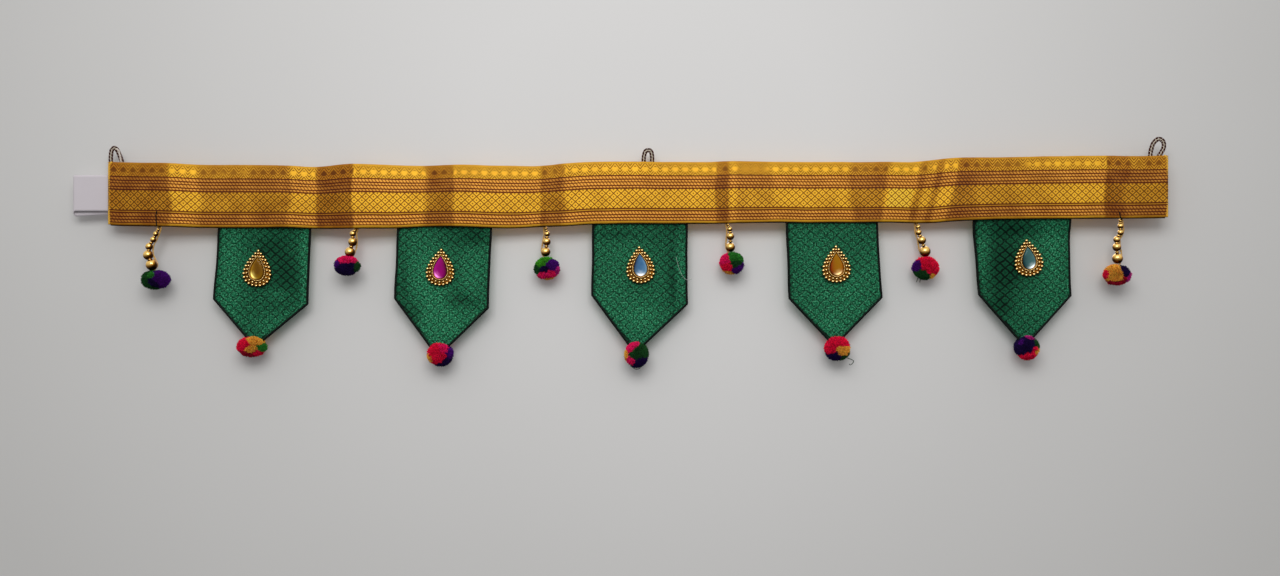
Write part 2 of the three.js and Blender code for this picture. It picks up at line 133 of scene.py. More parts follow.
# Each stone's table and bevel colours, its painted shade side and its painted highlight
STONES = [("#6A4404", "#C08A14", "#7A5208", "#FFEB80"), ("#9A0070", "#BC1090", "#580028", "#FF8CE0"),
          ("#3A6A98", "#8CB8D4", "#12244C", "#FFFFFF"), ("#A06C06", "#B4600A", "#8A2C02", "#FFDC98"),
          ("#3C6462", "#5A8C92", "#0C3034", "#F4FFFF")]
# Where each stone's painted highlight and painted shade lie, in degrees round it from its tip
PAINTED_HIGHLIGHT_TURNS = [215, 205, 180, 165, 160]
PAINTED_SHADE_TURNS = [80, 85, 285, 250, 250]

# The dyed patches of each pompom: place on its face from -1 to 1, share, wool
PATCHES = {
    "flag_1": [(-0.75, 0.15, 1.1, "red"), (-0.3, 0.2, 0.8, "red"), (-0.2, -0.8, 0.9, "dark_red"),
               (0.35, 0.6, 0.9, "orange"), (0.1, -0.3, 0.8, "orange"), (0.85, -0.1, 0.7, "green"),
               (0.45, -0.7, 0.7, "red")],
    "flag_2": [(-0.3, 0.4, 1.1, "red"), (0.0, -0.25, 1.0, "red"), (0.35, 0.55, 0.8, "pink"),
               (0.9, 0.15, 0.75, "purple"), (0.5, -0.75, 0.9, "navy"), (-0.85, -0.3, 0.5, "orange")],
    "flag_3": [(-0.35, 0.75, 0.9, "pink"), (0.3, 0.25, 1.2, "dark_green"), (0.35, -0.65, 1.0, "navy"),
               (-0.95, 0.1, 0.5, "orange"), (-0.45, -0.55, 0.6, "pink")],
    "flag_4": [(-0.1, 0.6, 1.1, "red"), (-0.75, 0.0, 0.8, "red"), (0.1, 0.05, 0.6, "orange"),
               (0.6, -0.2, 0.7, "orange"), (0.55, -0.8, 0.8, "dark_green"), (-0.4, -0.8, 0.9, "navy")],
    "flag_5": [(-0.3, 0.35, 1.3, "navy"), (-0.6, 0.5, 0.7, "purple"), (0.1, 0.9, 0.6, "magenta"),
               (0.65, 0.3, 0.7, "dark_green"), (0.7, -0.3, 0.6, "orange"), (0.2, -0.8, 1.0, "red"),
               (0.55, -0.1, 0.5, "red")],
    "string_1": [(-0.6, 0.3, 0.9, "dark_green"), (-0.2, 0.45, 0.6, "green"),
                 (-0.45, -0.5, 0.9, "dark_green"), (0.0, -0.35, 0.8, "navy"), (0.65, 0.1, 1.0, "purple")],
    "string_2": [(-0.1, 0.7, 1.1, "pink"), (-0.7, 0.2, 0.7, "purple"), (0.0, -0.4, 1.3, "navy"),
                 (0.9, -0.25, 0.7, "dark_green")],
    "string_3": [(-0.35, 0.65, 1.0, "olive"), (-0.85, 0.0, 0.6, "dark_green"), (0.4, 0.35, 0.9, "purple"),
                 (-0.15, -0.1, 0.7, "navy"), (0.9, -0.15, 0.5, "magenta"), (0.05, -0.65, 0.9, "pink"),
                 (0.15, -0.98, 0.5, "orange")],
    "string_4": [(-0.7, 0.3, 0.9, "pink"), (-0.55, -0.4, 0.8, "red"), (0.3, 0.55, 1.0, "green"),
                 (0.4, -0.1, 0.8, "dark_green"), (0.55, -0.55, 0.9, "purple"),
                 (-0.25, -0.95, 0.6, "orange")],
    "string_5": [(0.2, 0.4, 1.3, "red"), (0.75, -0.2, 0.8, "red"), (0.5, -0.7, 0.45, "orange"),
                 (-0.85, 0.15, 0.8, "purple"), (-0.5, -0.65, 0.9, "dark_green")],
    "string_6": [(-0.35, 0.25, 1.1, "orange"), (-0.25, -0.3, 0.8, "orange"), (-0.95, 0.1, 0.55, "red"),
                 (0.45, 0.35, 0.9, "navy"), (0.85, -0.25, 0.8, "magenta"), (0.3, -0.5, 0.5, "dark_red"),
                 (0.0, -0.9, 0.8, "dark_red")],
}

# The six bead strings from the top, each bead as its place in the photograph and its diameter in mm
STRINGS = [
    [(158.8, 226.8, 2.4), (158.7, 229.5, 2.8), (156.3, 234.0, 4.7), (153.7, 239.6, 5.2),
     (149.7, 246.6, 6.4), (148.7, 255.1, 8.6), (152.2, 264.8, 9.9)],
    [(356.0, 229.5, 2.8), (353.2, 233.9, 5.4), (353.1, 241.9, 7.8), (350.4, 252.1, 9.0)],
    [(545.7, 228.3, 3.0), (546.9, 233.7, 4.9), (546.4, 241.5, 7.0), (545.5, 251.7, 8.2)],
    [(728.3, 224.6, 2.8), (730.0, 229.1, 4.4), (730.6, 236.2, 6.7), (730.6, 247.1, 8.2)],
    [(917.6, 223.2, 2.6), (919.0, 226.8, 4.1), (919.4, 232.2, 5.2), (922.7, 240.1, 7.2),
     (925.9, 251.3, 9.5)],
    [(1119.6, 220.6, 3.0), (1119.8, 226.1, 5.2), (1119.8, 232.6, 5.2), (1116.2, 239.6, 5.9),
     (1116.2, 247.2, 7.3), (1116.9, 258.5, 9.1)],
]
# The side at which each string's second strand shows: 1 right, -1 left
STRAND_SIDE = [1, 1, -1, -1, -1, 1]

# The loops' routes in millimetres on the hanging's plane, from the left foot to the right
LOOPS = {
    "loop_left": [(-464.9, -16), (-465.3, -9), (-465.3, -3.5), (-464.6, 1.2), (-462.3, 3.3),
                  (-459.9, 1.6), (-457.6, -3.5), (-455.7, -9), (-454.8, -16)],
    "loop_middle": [(-4.2, -16), (-4.2, -9), (-3.9, -4), (-2.6, 0.2), (0, 1.3),
                    (2.2, 0.1), (3.1, -4), (3.1, -9), (3.0, -16)],
    "loop_right": [(431.4, -11), (432.1, -4), (433.1, 2), (435.0, 7), (438.6, 10.3),
                   (442.2, 9.6), (443.9, 6.2), (443.4, 2.2), (441.2, -1.8), (439.4, -5), (438.8, -11)],
}

# The band's woven rows from its top edge down: where each starts in mm, and what it is
ZARI_ROWS = [
    (0.0, "plain"), (1.5, "motif"), (11.75, "line"), (12.85, "rope"), (14.9, "line"), (15.9, "rope"),
    (17.35, "line"), (18.35, "rope"), (20.4, "line"), (21.5, "rope"), (22.75, "line"), (23.85, "lattice"),
    (40.6, "line"), (41.7, "plain"), (42.6, "line"), (43.8, "rope"), (45.9, "line"), (47.0, "rope"),
    (48.5, "line"), (49.5, "rope"), (51.1, "line"), (52.1, "plain"),
]
BAND_HEIGHT = 54.0
# The width and height of a cell of the lattice and of the flags' net, in mm
LATTICE = (6.55, 6.2)
OGEE = (9.0, 7.8)
ROPE_PITCH = 2.9
# The small motifs: how far apart, how far below the edge, and half the width and height of an oval
MOTIF_PITCH = 8.65
MOTIF_MIDDLE = 6.7
OVAL = (3.1, 2.4)
# How far apart a spun thread's plies lie, in mm
PLY_PITCH = 0.6
# The scale at which a wave texture draws one line in each millimetre
BAND_EACH_MM = 0.31416

# Painted light and shade of the band's folds, from left to right: up to which pixel, how much light
# is painted, and over how many pixels it changes to the next
PAINTED_FOLD_LIGHT = [
    (116, 0.08, 8), (172, 0.16, 5), (202, 0.92, 8), (250, 0.42, 12), (290, 0.30, 8), (317, 0.85, 5),
    (354, 0.06, 2), (426, 0.95, 10), (455, 0.22, 4), (541, 0.88, 3), (564, 0.3, 8), (640, 0.92, 8),
    (716, 0.84, 4), (729, 0.14, 3), (736, 0.95, 4), (772, 0.6, 8), (850, 0.88, 10), (886, 0.32, 8),
    (914, 1.35, 6), (922, 0.35, 4), (931, 0.75, 4), (938, 0.25, 4), (952, 0.85, 5), (975, 0.18, 12),
    (1020, 0.42, 24), (1055, 0.62, 20), (1103, 0.86, 3), (1124, 0.08, 8), (1166, 0.34, 0),
]

# Painted light and shade on each flag's satin, in mm from its middle line at the band: place, reach, amount
BASE_PAINTED_SHEEN = 0.48
PAINTED_SHEEN_SPOTS = {
    "flag_1": [(-31, -33, 11, 40, 0.45), (34, -37, 4, 40, 0.45), (0, -85, 15, 9, 0.3),
               (18, -30, 16, 32, -0.45), (10, -58, 9, 4, 0.45), (-2, -20, 12, 10, -0.3),
               (0, -60, 14, 14, -0.15)],
    "flag_2": [(-15, -47, 15, 38, 0.6), (23, -43, 9, 20, 0.45), (2, -82, 18, 12, 0.6),
               (28, -10, 13, 9, -0.4), (13, -64, 12, 5, -0.5), (-28, -78, 9, 11, -0.5),
               (-36, -40, 3, 34, -0.3)],
    "flag_3": [(0, -82, 18, 15, 0.5), (-19, -10, 18, 4, -0.3), (28, -45, 4, 28, -0.4), (34, -40, 3, 35, 0.3),
               (-20, -45, 20, 30, 0.4)],
    "flag_4": [(15, -60, 20, 20, 0.5), (0, -88, 12, 8, 0.4), (-15, -30, 18, 22, 0.2)],
    "flag_5": [(-14, -40, 15, 35, -0.45), (2, -8, 18, 8, -0.4), (28, -30, 10, 36, 0.4),
               (-32, -20, 5, 28, 0.35), (-18, -78, 10, 10, -0.35), (8, -80, 12, 8, 0.1)],
}


# Materials

def linear(hex_colour):
    """An sRGB hex colour as linear light."""
    shares = [int(hex_colour[i:i + 2], 16) / 255 for i in (1, 3, 5)]
    return [s / 12.92 if s <= 0.04045 else ((s + 0.055) / 1.055) ** 2.4 for s in shares] + [1.0]


def feed(tree, node, inputs):
    """Gives a node's inputs their values or links; a node stands for its first output that is in use."""
    for name, value in inputs.items():
        if isinstance(value, bpy.types.Node):
            value = next(socket for socket in value.outputs if socket.enabled)
        if isinstance(value, bpy.types.NodeSocket):
            tree.links.new(value, node.inputs[name])
        else:
            node.inputs[name].default_value = value


def add(tree, kind, inputs=None, **settings):
    """Adds a node with its settings and its inputs' values or links."""
    made = tree.nodes.new("ShaderNode" + kind)
    for name, value in settings.items():
        setattr(made, name, value)
    feed(tree, made, inputs or {})
    return made


def fill_ramp(ramp, stops, interpolation="LINEAR"):
    """Gives a colour ramp its stops, each a place and a colour or the value of a grey."""
    elements = ramp.color_ramp.elements
    ramp.color_ramp.interpolation = interpolation
    while len(elements) < len(stops):
        elements.new(1.0)
    for element, (place, colour) in zip(elements, stops):
        element.position = place
        element.color = (colour, colour, colour, 1.0) if isinstance(colour, float) else colour
    return ramp


def start_material(name):
    """A new material and the node tree and shader it is made in."""
    material = bpy.data.materials.new(name)
    material.use_nodes = True
    tree = material.node_tree
    return material, tree, tree.nodes["Principled BSDF"]


def diamond_net(tree, flat, wide, tall):
    """How far inside its diamond each place of a net lies: 0 on the slanting lines and 1 at the middle."""
    slants = []
    for turn in (45, -45):
        turned = add(tree, "Mapping", {"Vector": flat, "Scale": (1 / wide, 1 / tall, 1),
                                                 "Rotation": (0, 0, math.radians(turn))})
        wave = add(tree, "TexWave", {"Vector": turned, "Scale": BAND_EACH_MM * math.sqrt(2)},
                   wave_profile="TRI")
        slants.append(wave.outputs["Fac"])
    return add(tree, "Math", {0: slants[0], 1: slants[1]}, operation="MINIMUM")


def zari_brocade():
    """Zari border: flat gold-coated thread woven over a maroon silk ground, calendered.

    The ground shows as dark lines. The folds' light and shade is painted into the colour: the gold turns
    brown where shade is painted, and painted glints fleck the thread where light is painted."""
    material, tree, shader = start_material("zari_brocade")
    flat = add(tree, "UVMap", uv_map="flat_mm")
    place = add(tree, "SeparateXYZ", {0: flat}).outputs
    down = add(tree, "Math", {0: place["Y"], 1: BAND_HEIGHT}, operation="DIVIDE")
    masks = {}
    for kind in ("plain", "rope", "motif", "lattice"):
        stops = [(start / BAND_HEIGHT, float(row == kind)) for start, row in ZARI_ROWS]
        masks[kind] = fill_ramp(add(tree, "ValToRGB", {0: down}), stops, "CONSTANT")

    # Painted light and shade: how much light a place is painted with, from its fold's lean, clouded
    lean = add(tree, "Attribute", attribute_name="lean").outputs["Fac"]
    clouds = add(tree, "TexNoise", {"Vector": flat, "Scale": 0.07, "Detail": 3.0})
    painted_light_tone = add(tree, "Math", {0: clouds, 1: 0.9, 2: lean}, operation="MULTIPLY_ADD")
    painted_light_tone = add(tree, "Math", {0: painted_light_tone, 1: 0.45}, operation="SUBTRACT", use_clamp=True)

    # Lattice: diamonds with a gold rim round a dark dot, the rim drawn thinner where shade is painted
    net = diamond_net(tree, flat, *LATTICE)
    rims = []
    for stops in ([(0.0, 0.1), (0.2, 0.2), (0.34, 1.0), (0.5, 0.95), (0.66, 0.3), (1.0, 0.15)],
                  [(0.0, 0.0), (0.1, 0.1), (0.22, 1.0), (0.7, 1.0), (0.84, 0.1)]):
        rims.append(fill_ramp(add(tree, "ValToRGB", {0: net}), stops))
    lattice = add(tree, "Mix", {"Factor": painted_light_tone, "A": rims[0], "B": rims[1]}, data_type="RGBA")

    # Rope rows: slanting strands
    slanted = add(tree, "Mapping", {"Vector": flat, "Rotation": (0, 0, math.radians(36))})
    strands = add(tree, "TexWave", {"Vector": slanted, "Scale": BAND_EACH_MM / (ROPE_PITCH * 0.8),
                                              "Distortion": 0.5, "Detail": 1.0, "Detail Scale": 1.0})
    rope = fill_ramp(add(tree, "ValToRGB", {0: strands.outputs["Fac"]}),
                     [(0.0, 0.15), (0.25, 0.5), (0.5, 1.0)])

    # Motif row: ovals between slanting lines, painted bright where light is painted and dark where shade is
    # painted
    cell = add(tree, "Math", {0: place["X"], 1: MOTIF_PITCH}, operation="DIVIDE")
    cell = add(tree, "Math", {0: cell}, operation="FRACT")
    beside = add(tree, "Math", {0: cell, 1: 0.5}, operation="SUBTRACT")
    beside = add(tree, "Math", {0: beside}, operation="ABSOLUTE")
    beside = add(tree, "Math", {0: beside, 1: MOTIF_PITCH}, operation="MULTIPLY")
    upward = add(tree, "Math", {0: MOTIF_MIDDLE, 1: place["Y"]}, operation="SUBTRACT")
    offset = add(tree, "CombineXYZ", {0: beside, 1: upward})
    offset = add(tree, "VectorMath", {0: offset, 1: (1 / OVAL[0], 1 / OVAL[1], 0.0)},
                 operation="MULTIPLY")
    reach = add(tree, "VectorMath", {0: offset}, operation="LENGTH")
    inside = fill_ramp(add(tree, "ValToRGB", {0: reach}), [(0.0, 1.0), (0.7, 1.0), (1.0, 0.0)])
    lines = add(tree, "Math", {0: beside, 1: 1.25, 2: upward}, operation="MULTIPLY_ADD")
    lines = add(tree, "Math", {0: lines, 1: 1.4}, operation="PINGPONG")
    lines = fill_ramp(add(tree, "ValToRGB", {0: lines}), [(0.0, 0.0), (0.45, 0.3), (1.0, 1.0)])
    painted_shine = fill_ramp(add(tree, "ValToRGB", {0: painted_light_tone}), [(0.0, 0.15), (0.45, 0.35), (0.7, 1.0)])
    motif = add(tree, "Mix", {"Factor": inside, "A": lines, "B": painted_shine}, data_type="RGBA")

    # Gold share: each kind of row where it lies
    gold = 0.0
    for kind, share in (("plain", 0.6), ("lattice", lattice), ("rope", rope), ("motif", motif)):
        gold = add(tree, "Math", {0: masks[kind], 1: share, 2: gold}, operation="MULTIPLY_ADD")

    # Painted glints: short highlight flecks along the weft, stronger where light is painted, and a painted
    # flare on the lattice where a fold's painted light is highest
    fleck_place = add(tree, "Mapping", {"Vector": flat, "Scale": (1.0, 1.8, 1.0)})
    flecks = add(tree, "TexNoise", {"Vector": fleck_place, "Scale": 0.9, "Detail": 3.0,
                                              "Roughness": 0.7})
    painted_glint = add(tree, "MapRange", {0: flecks, 1: 0.48, 2: 0.68, 3: 0.0, 4: 0.9})
    strength = add(tree, "Math", {0: painted_light_tone, 1: 0.8, 2: 0.2}, operation="MULTIPLY_ADD")
    painted_flare = add(tree, "MapRange", {0: lean, 1: 1.0, 2: 1.35, 3: 0.0, 4: 0.6})
    painted_flare = add(tree, "Math", {0: painted_flare, 1: masks["lattice"]}, operation="MULTIPLY")
    painted_glint = add(tree, "Math", {0: painted_glint, 1: strength, 2: painted_flare}, operation="MULTIPLY_ADD",
                use_clamp=True)
    copper_share = add(tree, "Math", {0: masks["rope"], 1: 0.7}, operation="MULTIPLY")

    # Colours: gold thread, copper in the rope rows, over the silk ground, each blended from its shaded to
    # its lit copy by the painted light
    copper = add(tree, "Mix", {"Factor": painted_light_tone, "A": linear(COPPER_ZARI_SHADE),
                                         "B": linear(COPPER_ZARI_LIT)}, data_type="RGBA")
    thread = linear(GOLD_ZARI_SHADE)
    for share, over in ((painted_light_tone, linear(GOLD_ZARI_LIT)), (painted_glint, linear(GOLD_ZARI_GLINT)),
                        (copper_share, copper)):
        thread = add(tree, "Mix", {"Factor": share, "A": thread, "B": over}, data_type="RGBA")
    colour = linear(MAROON_WEFT_SHADE)
    for share, over in ((masks["lattice"], linear(BROWN_WEFT)), (painted_light_tone, linear(MAROON_LIT)), (gold, thread)):
        colour = add(tree, "Mix", {"Factor": share, "A": colour, "B": over}, data_type="RGBA")
    height = add(tree, "Math", {0: flecks, 1: 0.5, 2: gold}, operation="MULTIPLY_ADD")
    bump = add(tree, "Bump", {"Height": height, "Strength": 0.6, "Distance": 0.25 * MM})
    metal = add(tree, "MapRange", {0: gold, 3: 0.05, 4: 0.22})
    feed(tree, shader, {"Base Color": colour, "Normal": bump, "Metallic": metal, "Roughness": 0.5,
                        "Specular IOR Level": 0.1})
    return material


def green_brocade():
    """Silk brocade, tone on tone: satin ogee cells between sunk dark lines, woven and pressed.

    Light and shade on the satin are painted: painted glints where it is painted lit; where shade is
    painted, the glints go out and the net of lines shows."""
    material, tree, shader = start_material("green_brocade")
    flat = add(tree, "UVMap", uv_map="flat_mm")
    wobble = add(tree, "TexNoise", {"Vector": flat, "Scale": 0.3, "Detail": 2.0})
    bent = add(tree, "VectorMath", {0: wobble.outputs["Color"], 1: (0.5, 0.5, 0.5)},
               operation="SUBTRACT")
    bent = add(tree, "VectorMath", {0: bent, 1: (2.2, 2.2, 0.0), 2: flat}, operation="MULTIPLY_ADD")
    net = diamond_net(tree, bent, *OGEE)
    cells = fill_ramp(add(tree, "ValToRGB", {0: net}),
                      [(0.0, 0.0), (0.15, 0.05), (0.32, 0.95), (0.6, 1.0), (0.85, 0.6)])
    threads = add(tree, "TexNoise", {"Vector": flat, "Scale": 0.75, "Detail": 4.0, "Roughness": 0.8})
    painted_sheen = add(tree, "Attribute", attribute_name="painted_sheen").outputs["Fac"]
    painted_glint = add(tree, "MapRange", {0: threads, 1: 0.52, 2: 0.66, 3: 0.0, 4: 1.1})
    painted_glint = add(tree, "Math", {0: painted_glint, 1: painted_sheen}, operation="MULTIPLY", use_clamp=True)
    pits = add(tree, "MapRange", {0: threads, 1: 0.36, 2: 0.49, 3: 0.85, 4: 0.0})
    satin = add(tree, "Mix", {"Factor": painted_sheen, "A": linear(GREEN_SHADE), "B": linear(GREEN_SATIN_LIT)},
                data_type="RGBA")
    colour = linear(GREEN_GROUND)
    for share, over in ((painted_sheen, linear(GREEN_LINE_LIT)), (cells, satin), (pits, linear(GREEN_GROUND)),
                        (painted_glint, linear(GREEN_GLINT))):
        colour = add(tree, "Mix", {"Factor": share, "A": colour, "B": over}, data_type="RGBA")
    height = add(tree, "Math", {0: threads, 1: 1.0, 2: cells}, operation="MULTIPLY_ADD")
    bump = add(tree, "Bump", {"Height": height, "Strength": 0.5, "Distance": 0.25 * MM})
    feed(tree, shader, {"Base Color": colour, "Normal": bump, "Roughness": 0.6, "Specular IOR Level": 0.06})
    return material


def spun_thread(name, colour, metallic=0.0, roughness=0.75):
    """Spun and twisted yarn: a soft sheen with fine slanting plies, the grooves between them painted darker
    as shade.
    """
    material, tree, shader = start_material(name)
    flat = add(tree, "UVMap", uv_map="flat_mm")
    slanted = add(tree, "Mapping", {"Vector": flat, "Rotation": (0, 0, math.radians(45))})
    plies = add(tree, "TexWave", {"Vector": slanted, "Scale": BAND_EACH_MM / PLY_PITCH}).outputs["Fac"]
    # Painted shade: the grooves between the plies are drawn darker
    colours = fill_ramp(add(tree, "ValToRGB", {0: plies}), [
        (0.0, [0.55 * share for share in linear(colour)[:3]] + [1.0]), (0.7, linear(colour))])
    bump = add(tree, "Bump", {"Height": plies, "Strength": 0.4, "Distance": 0.1 * MM})
    feed(tree, shader, {"Base Color": colours, "Normal": bump, "Metallic": metallic, "Roughness": roughness,
                        "Specular IOR Level": 0.15})
    return material


def gold_plate(name, colour, roughness):
    """Thin gold-coloured plating under lacquer, barrel polished, painted bright where it faces up and
    forward.

    Round its sides and below, painted shade and reflection turn it brown; faint handling marks soften the
    polish."""
    material, tree, shader = start_material(name)
    coordinates = add(tree, "TexCoord").outputs
    marks = add(tree, "TexNoise", {"Vector": coordinates["Object"], "Scale": 900.0, "Detail": 3.0})
    rough = add(tree, "MapRange", {0: marks, 1: 0.3, 2: 0.7, 3: roughness, 4: roughness + 0.12})
    # Painted light, shade and reflection: the colour runs from brown to the lit gold by which way it faces
    facing = add(tree, "VectorMath", {0: coordinates["Normal"], 1: (-0.25, -0.77, 0.58)},
                 operation="DOT_PRODUCT")
    painted_plate_light = fill_ramp(add(tree, "ValToRGB", {0: facing}), [
        (0.0, linear(PLATE_PAINTED_SHADE)), (0.34, linear(PLATE_PAINTED_SHADE)), (0.56, linear(GOLD_PLATE_HALF_SHADE)),
        (0.77, linear(colour))])
    feed(tree, shader, {"Base Color": painted_plate_light, "Roughness": rough, "Metallic": 1.0})
    return material


def foiled_stone(name, colours):
    """Cut glass with a foil back: clear in its table, painted shade along one side, a glowing painted
    highlight.

    The numbers on each corner of the cut say how much it belongs to the bevel, the painted shade and the
    painted highlight."""
    table, bevel, painted_shade, painted_highlight = [linear(colour) for colour in colours]
    material, tree, shader = start_material(name)
    place = add(tree, "TexCoord").outputs["Object"]
    depth = add(tree, "TexNoise", {"Vector": place, "Scale": 150.0, "Detail": 1.0})
    shares = {side: add(tree, "Attribute", attribute_name=side).outputs["Fac"]
              for side in ("bevel", "painted_shade", "painted_highlight")}
    ring = add(tree, "Math", {0: depth, 1: 0.5, 2: shares["bevel"]}, operation="MULTIPLY_ADD")
    ring = add(tree, "Math", {0: ring, 1: 0.25}, operation="SUBTRACT", use_clamp=True)
    tint = table
    for share, over in ((ring, bevel), (shares["painted_shade"], painted_shade), (shares["painted_highlight"], painted_highlight)):
        tint = add(tree, "Mix", {"Factor": share, "A": tint, "B": over}, data_type="RGBA")
    # The painted highlight also glows, though the stone is no lamp
    painted_glow = add(tree, "Math", {0: shares["painted_highlight"], 1: 1.1}, operation="MULTIPLY")
    feed(tree, shader, {"Base Color": tint, "Emission Color": painted_highlight, "Emission Strength": painted_glow,
                        "Roughness": 0.1, "Specular IOR Level": 0.15})
    return material


def clipped_wool():
    """Wool yarn, dyed in patches and clipped: matt, with painted shade in the gaps between its ends, tips
    lighter.
    """
    material, tree, shader = start_material("clipped_wool")
    dye_and_shade = add(tree, "Attribute", attribute_name="dye_and_shade").outputs["Color"]
    place = add(tree, "TexCoord").outputs["Object"]
    fluff = add(tree, "TexNoise", {"Vector": place, "Scale": 1400.0, "Detail": 2.0})
    value = add(tree, "MapRange", {0: fluff, 1: 0.3, 2: 0.7, 3: 0.7, 4: 1.3})
    colour = add(tree, "HueSaturation", {"Color": dye_and_shade, "Value": value})
    bump = add(tree, "Bump", {"Height": fluff, "Strength": 0.5, "Distance": 0.2 * MM})
    feed(tree, shader, {"Base Color": colour, "Normal": bump, "Roughness": 0.95, "Specular IOR Level": 0.1})
    return material


def woven_ribbon():
    """Polyester satin ribbon, plain and undyed: even white with a faint weave, 0.8 mm so that it shows."""
    material, tree, shader = start_material("woven_ribbon")
    flat = add(tree, "UVMap", uv_map="flat_mm")
    waves = [add(tree, "TexWave", {"Vector": flat, "Scale": BAND_EACH_MM / 0.8},
                 bands_direction=way).outputs["Fac"] for way in ("Y", "X")]
    weave = add(tree, "Math", {0: waves[0], 1: waves[1]}, operation="MULTIPLY")
    tint = add(tree, "Mix", {"Factor": weave, "A": linear(RIBBON_SHADE), "B": linear(RIBBON_WHITE)},
               data_type="RGBA")
    bump = add(tree, "Bump", {"Height": weave, "Strength": 0.3, "Distance": 0.1 * MM})
    feed(tree, shader, {"Base Color": tint, "Normal": bump, "Roughness": 0.6})
    return material


def one_sided_wall(name, colour, painted_falloff_colour):
    """Matt wall paint, painted dimmer away from the middle as light falloff, seen from its front only to
    leave the back in view.
    """
    material, tree, shader = start_material(name)
    place = add(tree, "TexCoord").outputs["Object"]
    away = add(tree, "VectorMath", {0: place}, operation="LENGTH")
    patches = add(tree, "TexNoise", {"Vector": place, "Scale": 3.0, "Detail": 2.0})
    blend = add(tree, "MapRange", {0: away, 1: 0.15, 2: 0.65, 3: -0.1, 4: 0.9})
    blend = add(tree, "Math", {0: patches, 1: 0.2, 2: blend}, operation="MULTIPLY_ADD", use_clamp=True)
    tint = add(tree, "Mix", {"Factor": blend, "A": linear(colour), "B": linear(painted_falloff_colour)},
               data_type="RGBA")
    feed(tree, shader, {"Base Color": tint, "Roughness": 0.9, "Specular IOR Level": 0.1})
    back = add(tree, "NewGeometry").outputs["Backfacing"]
    mixed = add(tree, "MixShader", {0: back, 1: shader, 2: add(tree, "BsdfTransparent")})
    feed(tree, tree.nodes["Material Output"], {"Surface": mixed})
    return material


# Meshes

def show(name, mesh, materials, smooth=True):
    """A new object in the scene from a finished mesh."""
    for material in materials:
        mesh.materials.append(material)
    mesh.polygons.foreach_set("use_smooth", [smooth] * len(mesh.polygons))
    mesh.update()
    piece = bpy.data.objects.new(name, mesh)
    bpy.context.scene.collection.objects.link(piece)
    return piece


def make_piece(name, points, faces, material, flat=None, smooth=True):
    """A new object from points in metres; flat gives each point its place on the cut cloth, in mm."""
    mesh = bpy.data.meshes.new(name)
    mesh.from_pydata([tuple(p) for p in points], [], faces)
    if flat is not None:
        layer = mesh.uv_layers.new(name="flat_mm")
        corner = np.zeros(len(mesh.loops), dtype=np.int32)
        mesh.loops.foreach_get("vertex_index", corner)
        layer.data.foreach_set("uv", np.asarray(flat, dtype=np.float32)[corner].ravel())
    return show(name, mesh, [material], smooth)


def set_values(piece, name, values):
    """Stores one number for each point of a piece, which its material reads."""
    layer = piece.data.attributes.new(name, "FLOAT", "POINT")
    layer.data.foreach_set("value", np.asarray(values, dtype=np.float32).ravel())


def fit(piece, slot, *nodes):
    """Lets a finished piece ride with the hanging and hides the nodes it stands for; slot is not used."""
    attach(piece, "root")
    if nodes:
        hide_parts(*nodes)
    return piece


def cloth(name, rows, flat_rows, thick, material):
    """A cloth from rows of points on its middle: a front, a back and a rim round its edge."""
    middle = np.array(rows, dtype=float)
    count, across = middle.shape[:2]
    normal = np.cross(np.gradient(middle, axis=1), np.gradient(middle, axis=0))
    normal /= np.linalg.norm(normal, axis=2, keepdims=True)
    if normal[..., 1].mean() > 0:
        normal = -normal
    sides = [(middle + normal * half).reshape(-1, 3) for half in (thick / 2, -thick / 2)]
    start = count * across
    faces = []
    for r in range(count - 1):
        for c in range(across - 1):
            a = r * across + c
            faces.append((a, a + 1, a + across + 1, a + across))
            faces.append((start + a, start + a + across, start + a + across + 1, start + a + 1))
    edge = list(range(across))
    edge += [r * across + across - 1 for r in range(1, count)]
    edge += [(count - 1) * across + c for c in range(across - 2, -1, -1)]
    edge += [r * across for r in range(count - 2, 0, -1)]
    for a, b in zip(edge, edge[1:] + edge[:1]):
        faces.append((a, start + a, start + b, b))
    flat = np.array(flat_rows, dtype=float).reshape(-1, 2)
    piece = make_piece(name, np.concatenate(sides), faces, material, np.concatenate([flat, flat]))
    shell = bmesh.new()
    shell.from_mesh(piece.data)
    bmesh.ops.recalc_face_normals(shell, faces=shell.faces)
    shell.to_mesh(piece.data)
    shell.free()
    return piece


def soft_between(a, b, c, d, t):
    """A soft curve's place a share t of the way from b to c, with a before them and d after."""
    return 0.5 * (2 * b + (c - a) * t + (2 * a - 5 * b + 4 * c - d) * t * t
                  + (3 * b - a - 3 * c + d) * t ** 3)


def smooth_curve(points, steps):
    """Points along a soft curve through the given ones."""
    places = [Vector(p) for p in points]
    places = [2 * places[0] - places[1]] + places + [2 * places[-1] - places[-2]]
    curve = []
    for i in range(1, len(places) - 2):
        for k in range(steps):
            curve.append(soft_between(*places[i - 1:i + 3], k / steps))
    return curve + [places[-2]]


def wound_about(path, away, pitch, turn):
    """A strand that winds round a path at a distance, once in each pitch."""
    wound = []
    run = 0.0
    for i, centre in enumerate(path):
        ahead = (path[min(i + 1, len(path) - 1)] - path[max(i - 1, 0)]).normalized()
        out = ahead.cross(Vector((0, 1, 0))).normalized()
        run += (centre - path[max(i - 1, 0)]).length
        angle = 2 * math.pi * run / pitch + turn
        wound.append(centre + away * (math.cos(angle) * ahead.cross(out) + math.sin(angle) * out))
    return wound


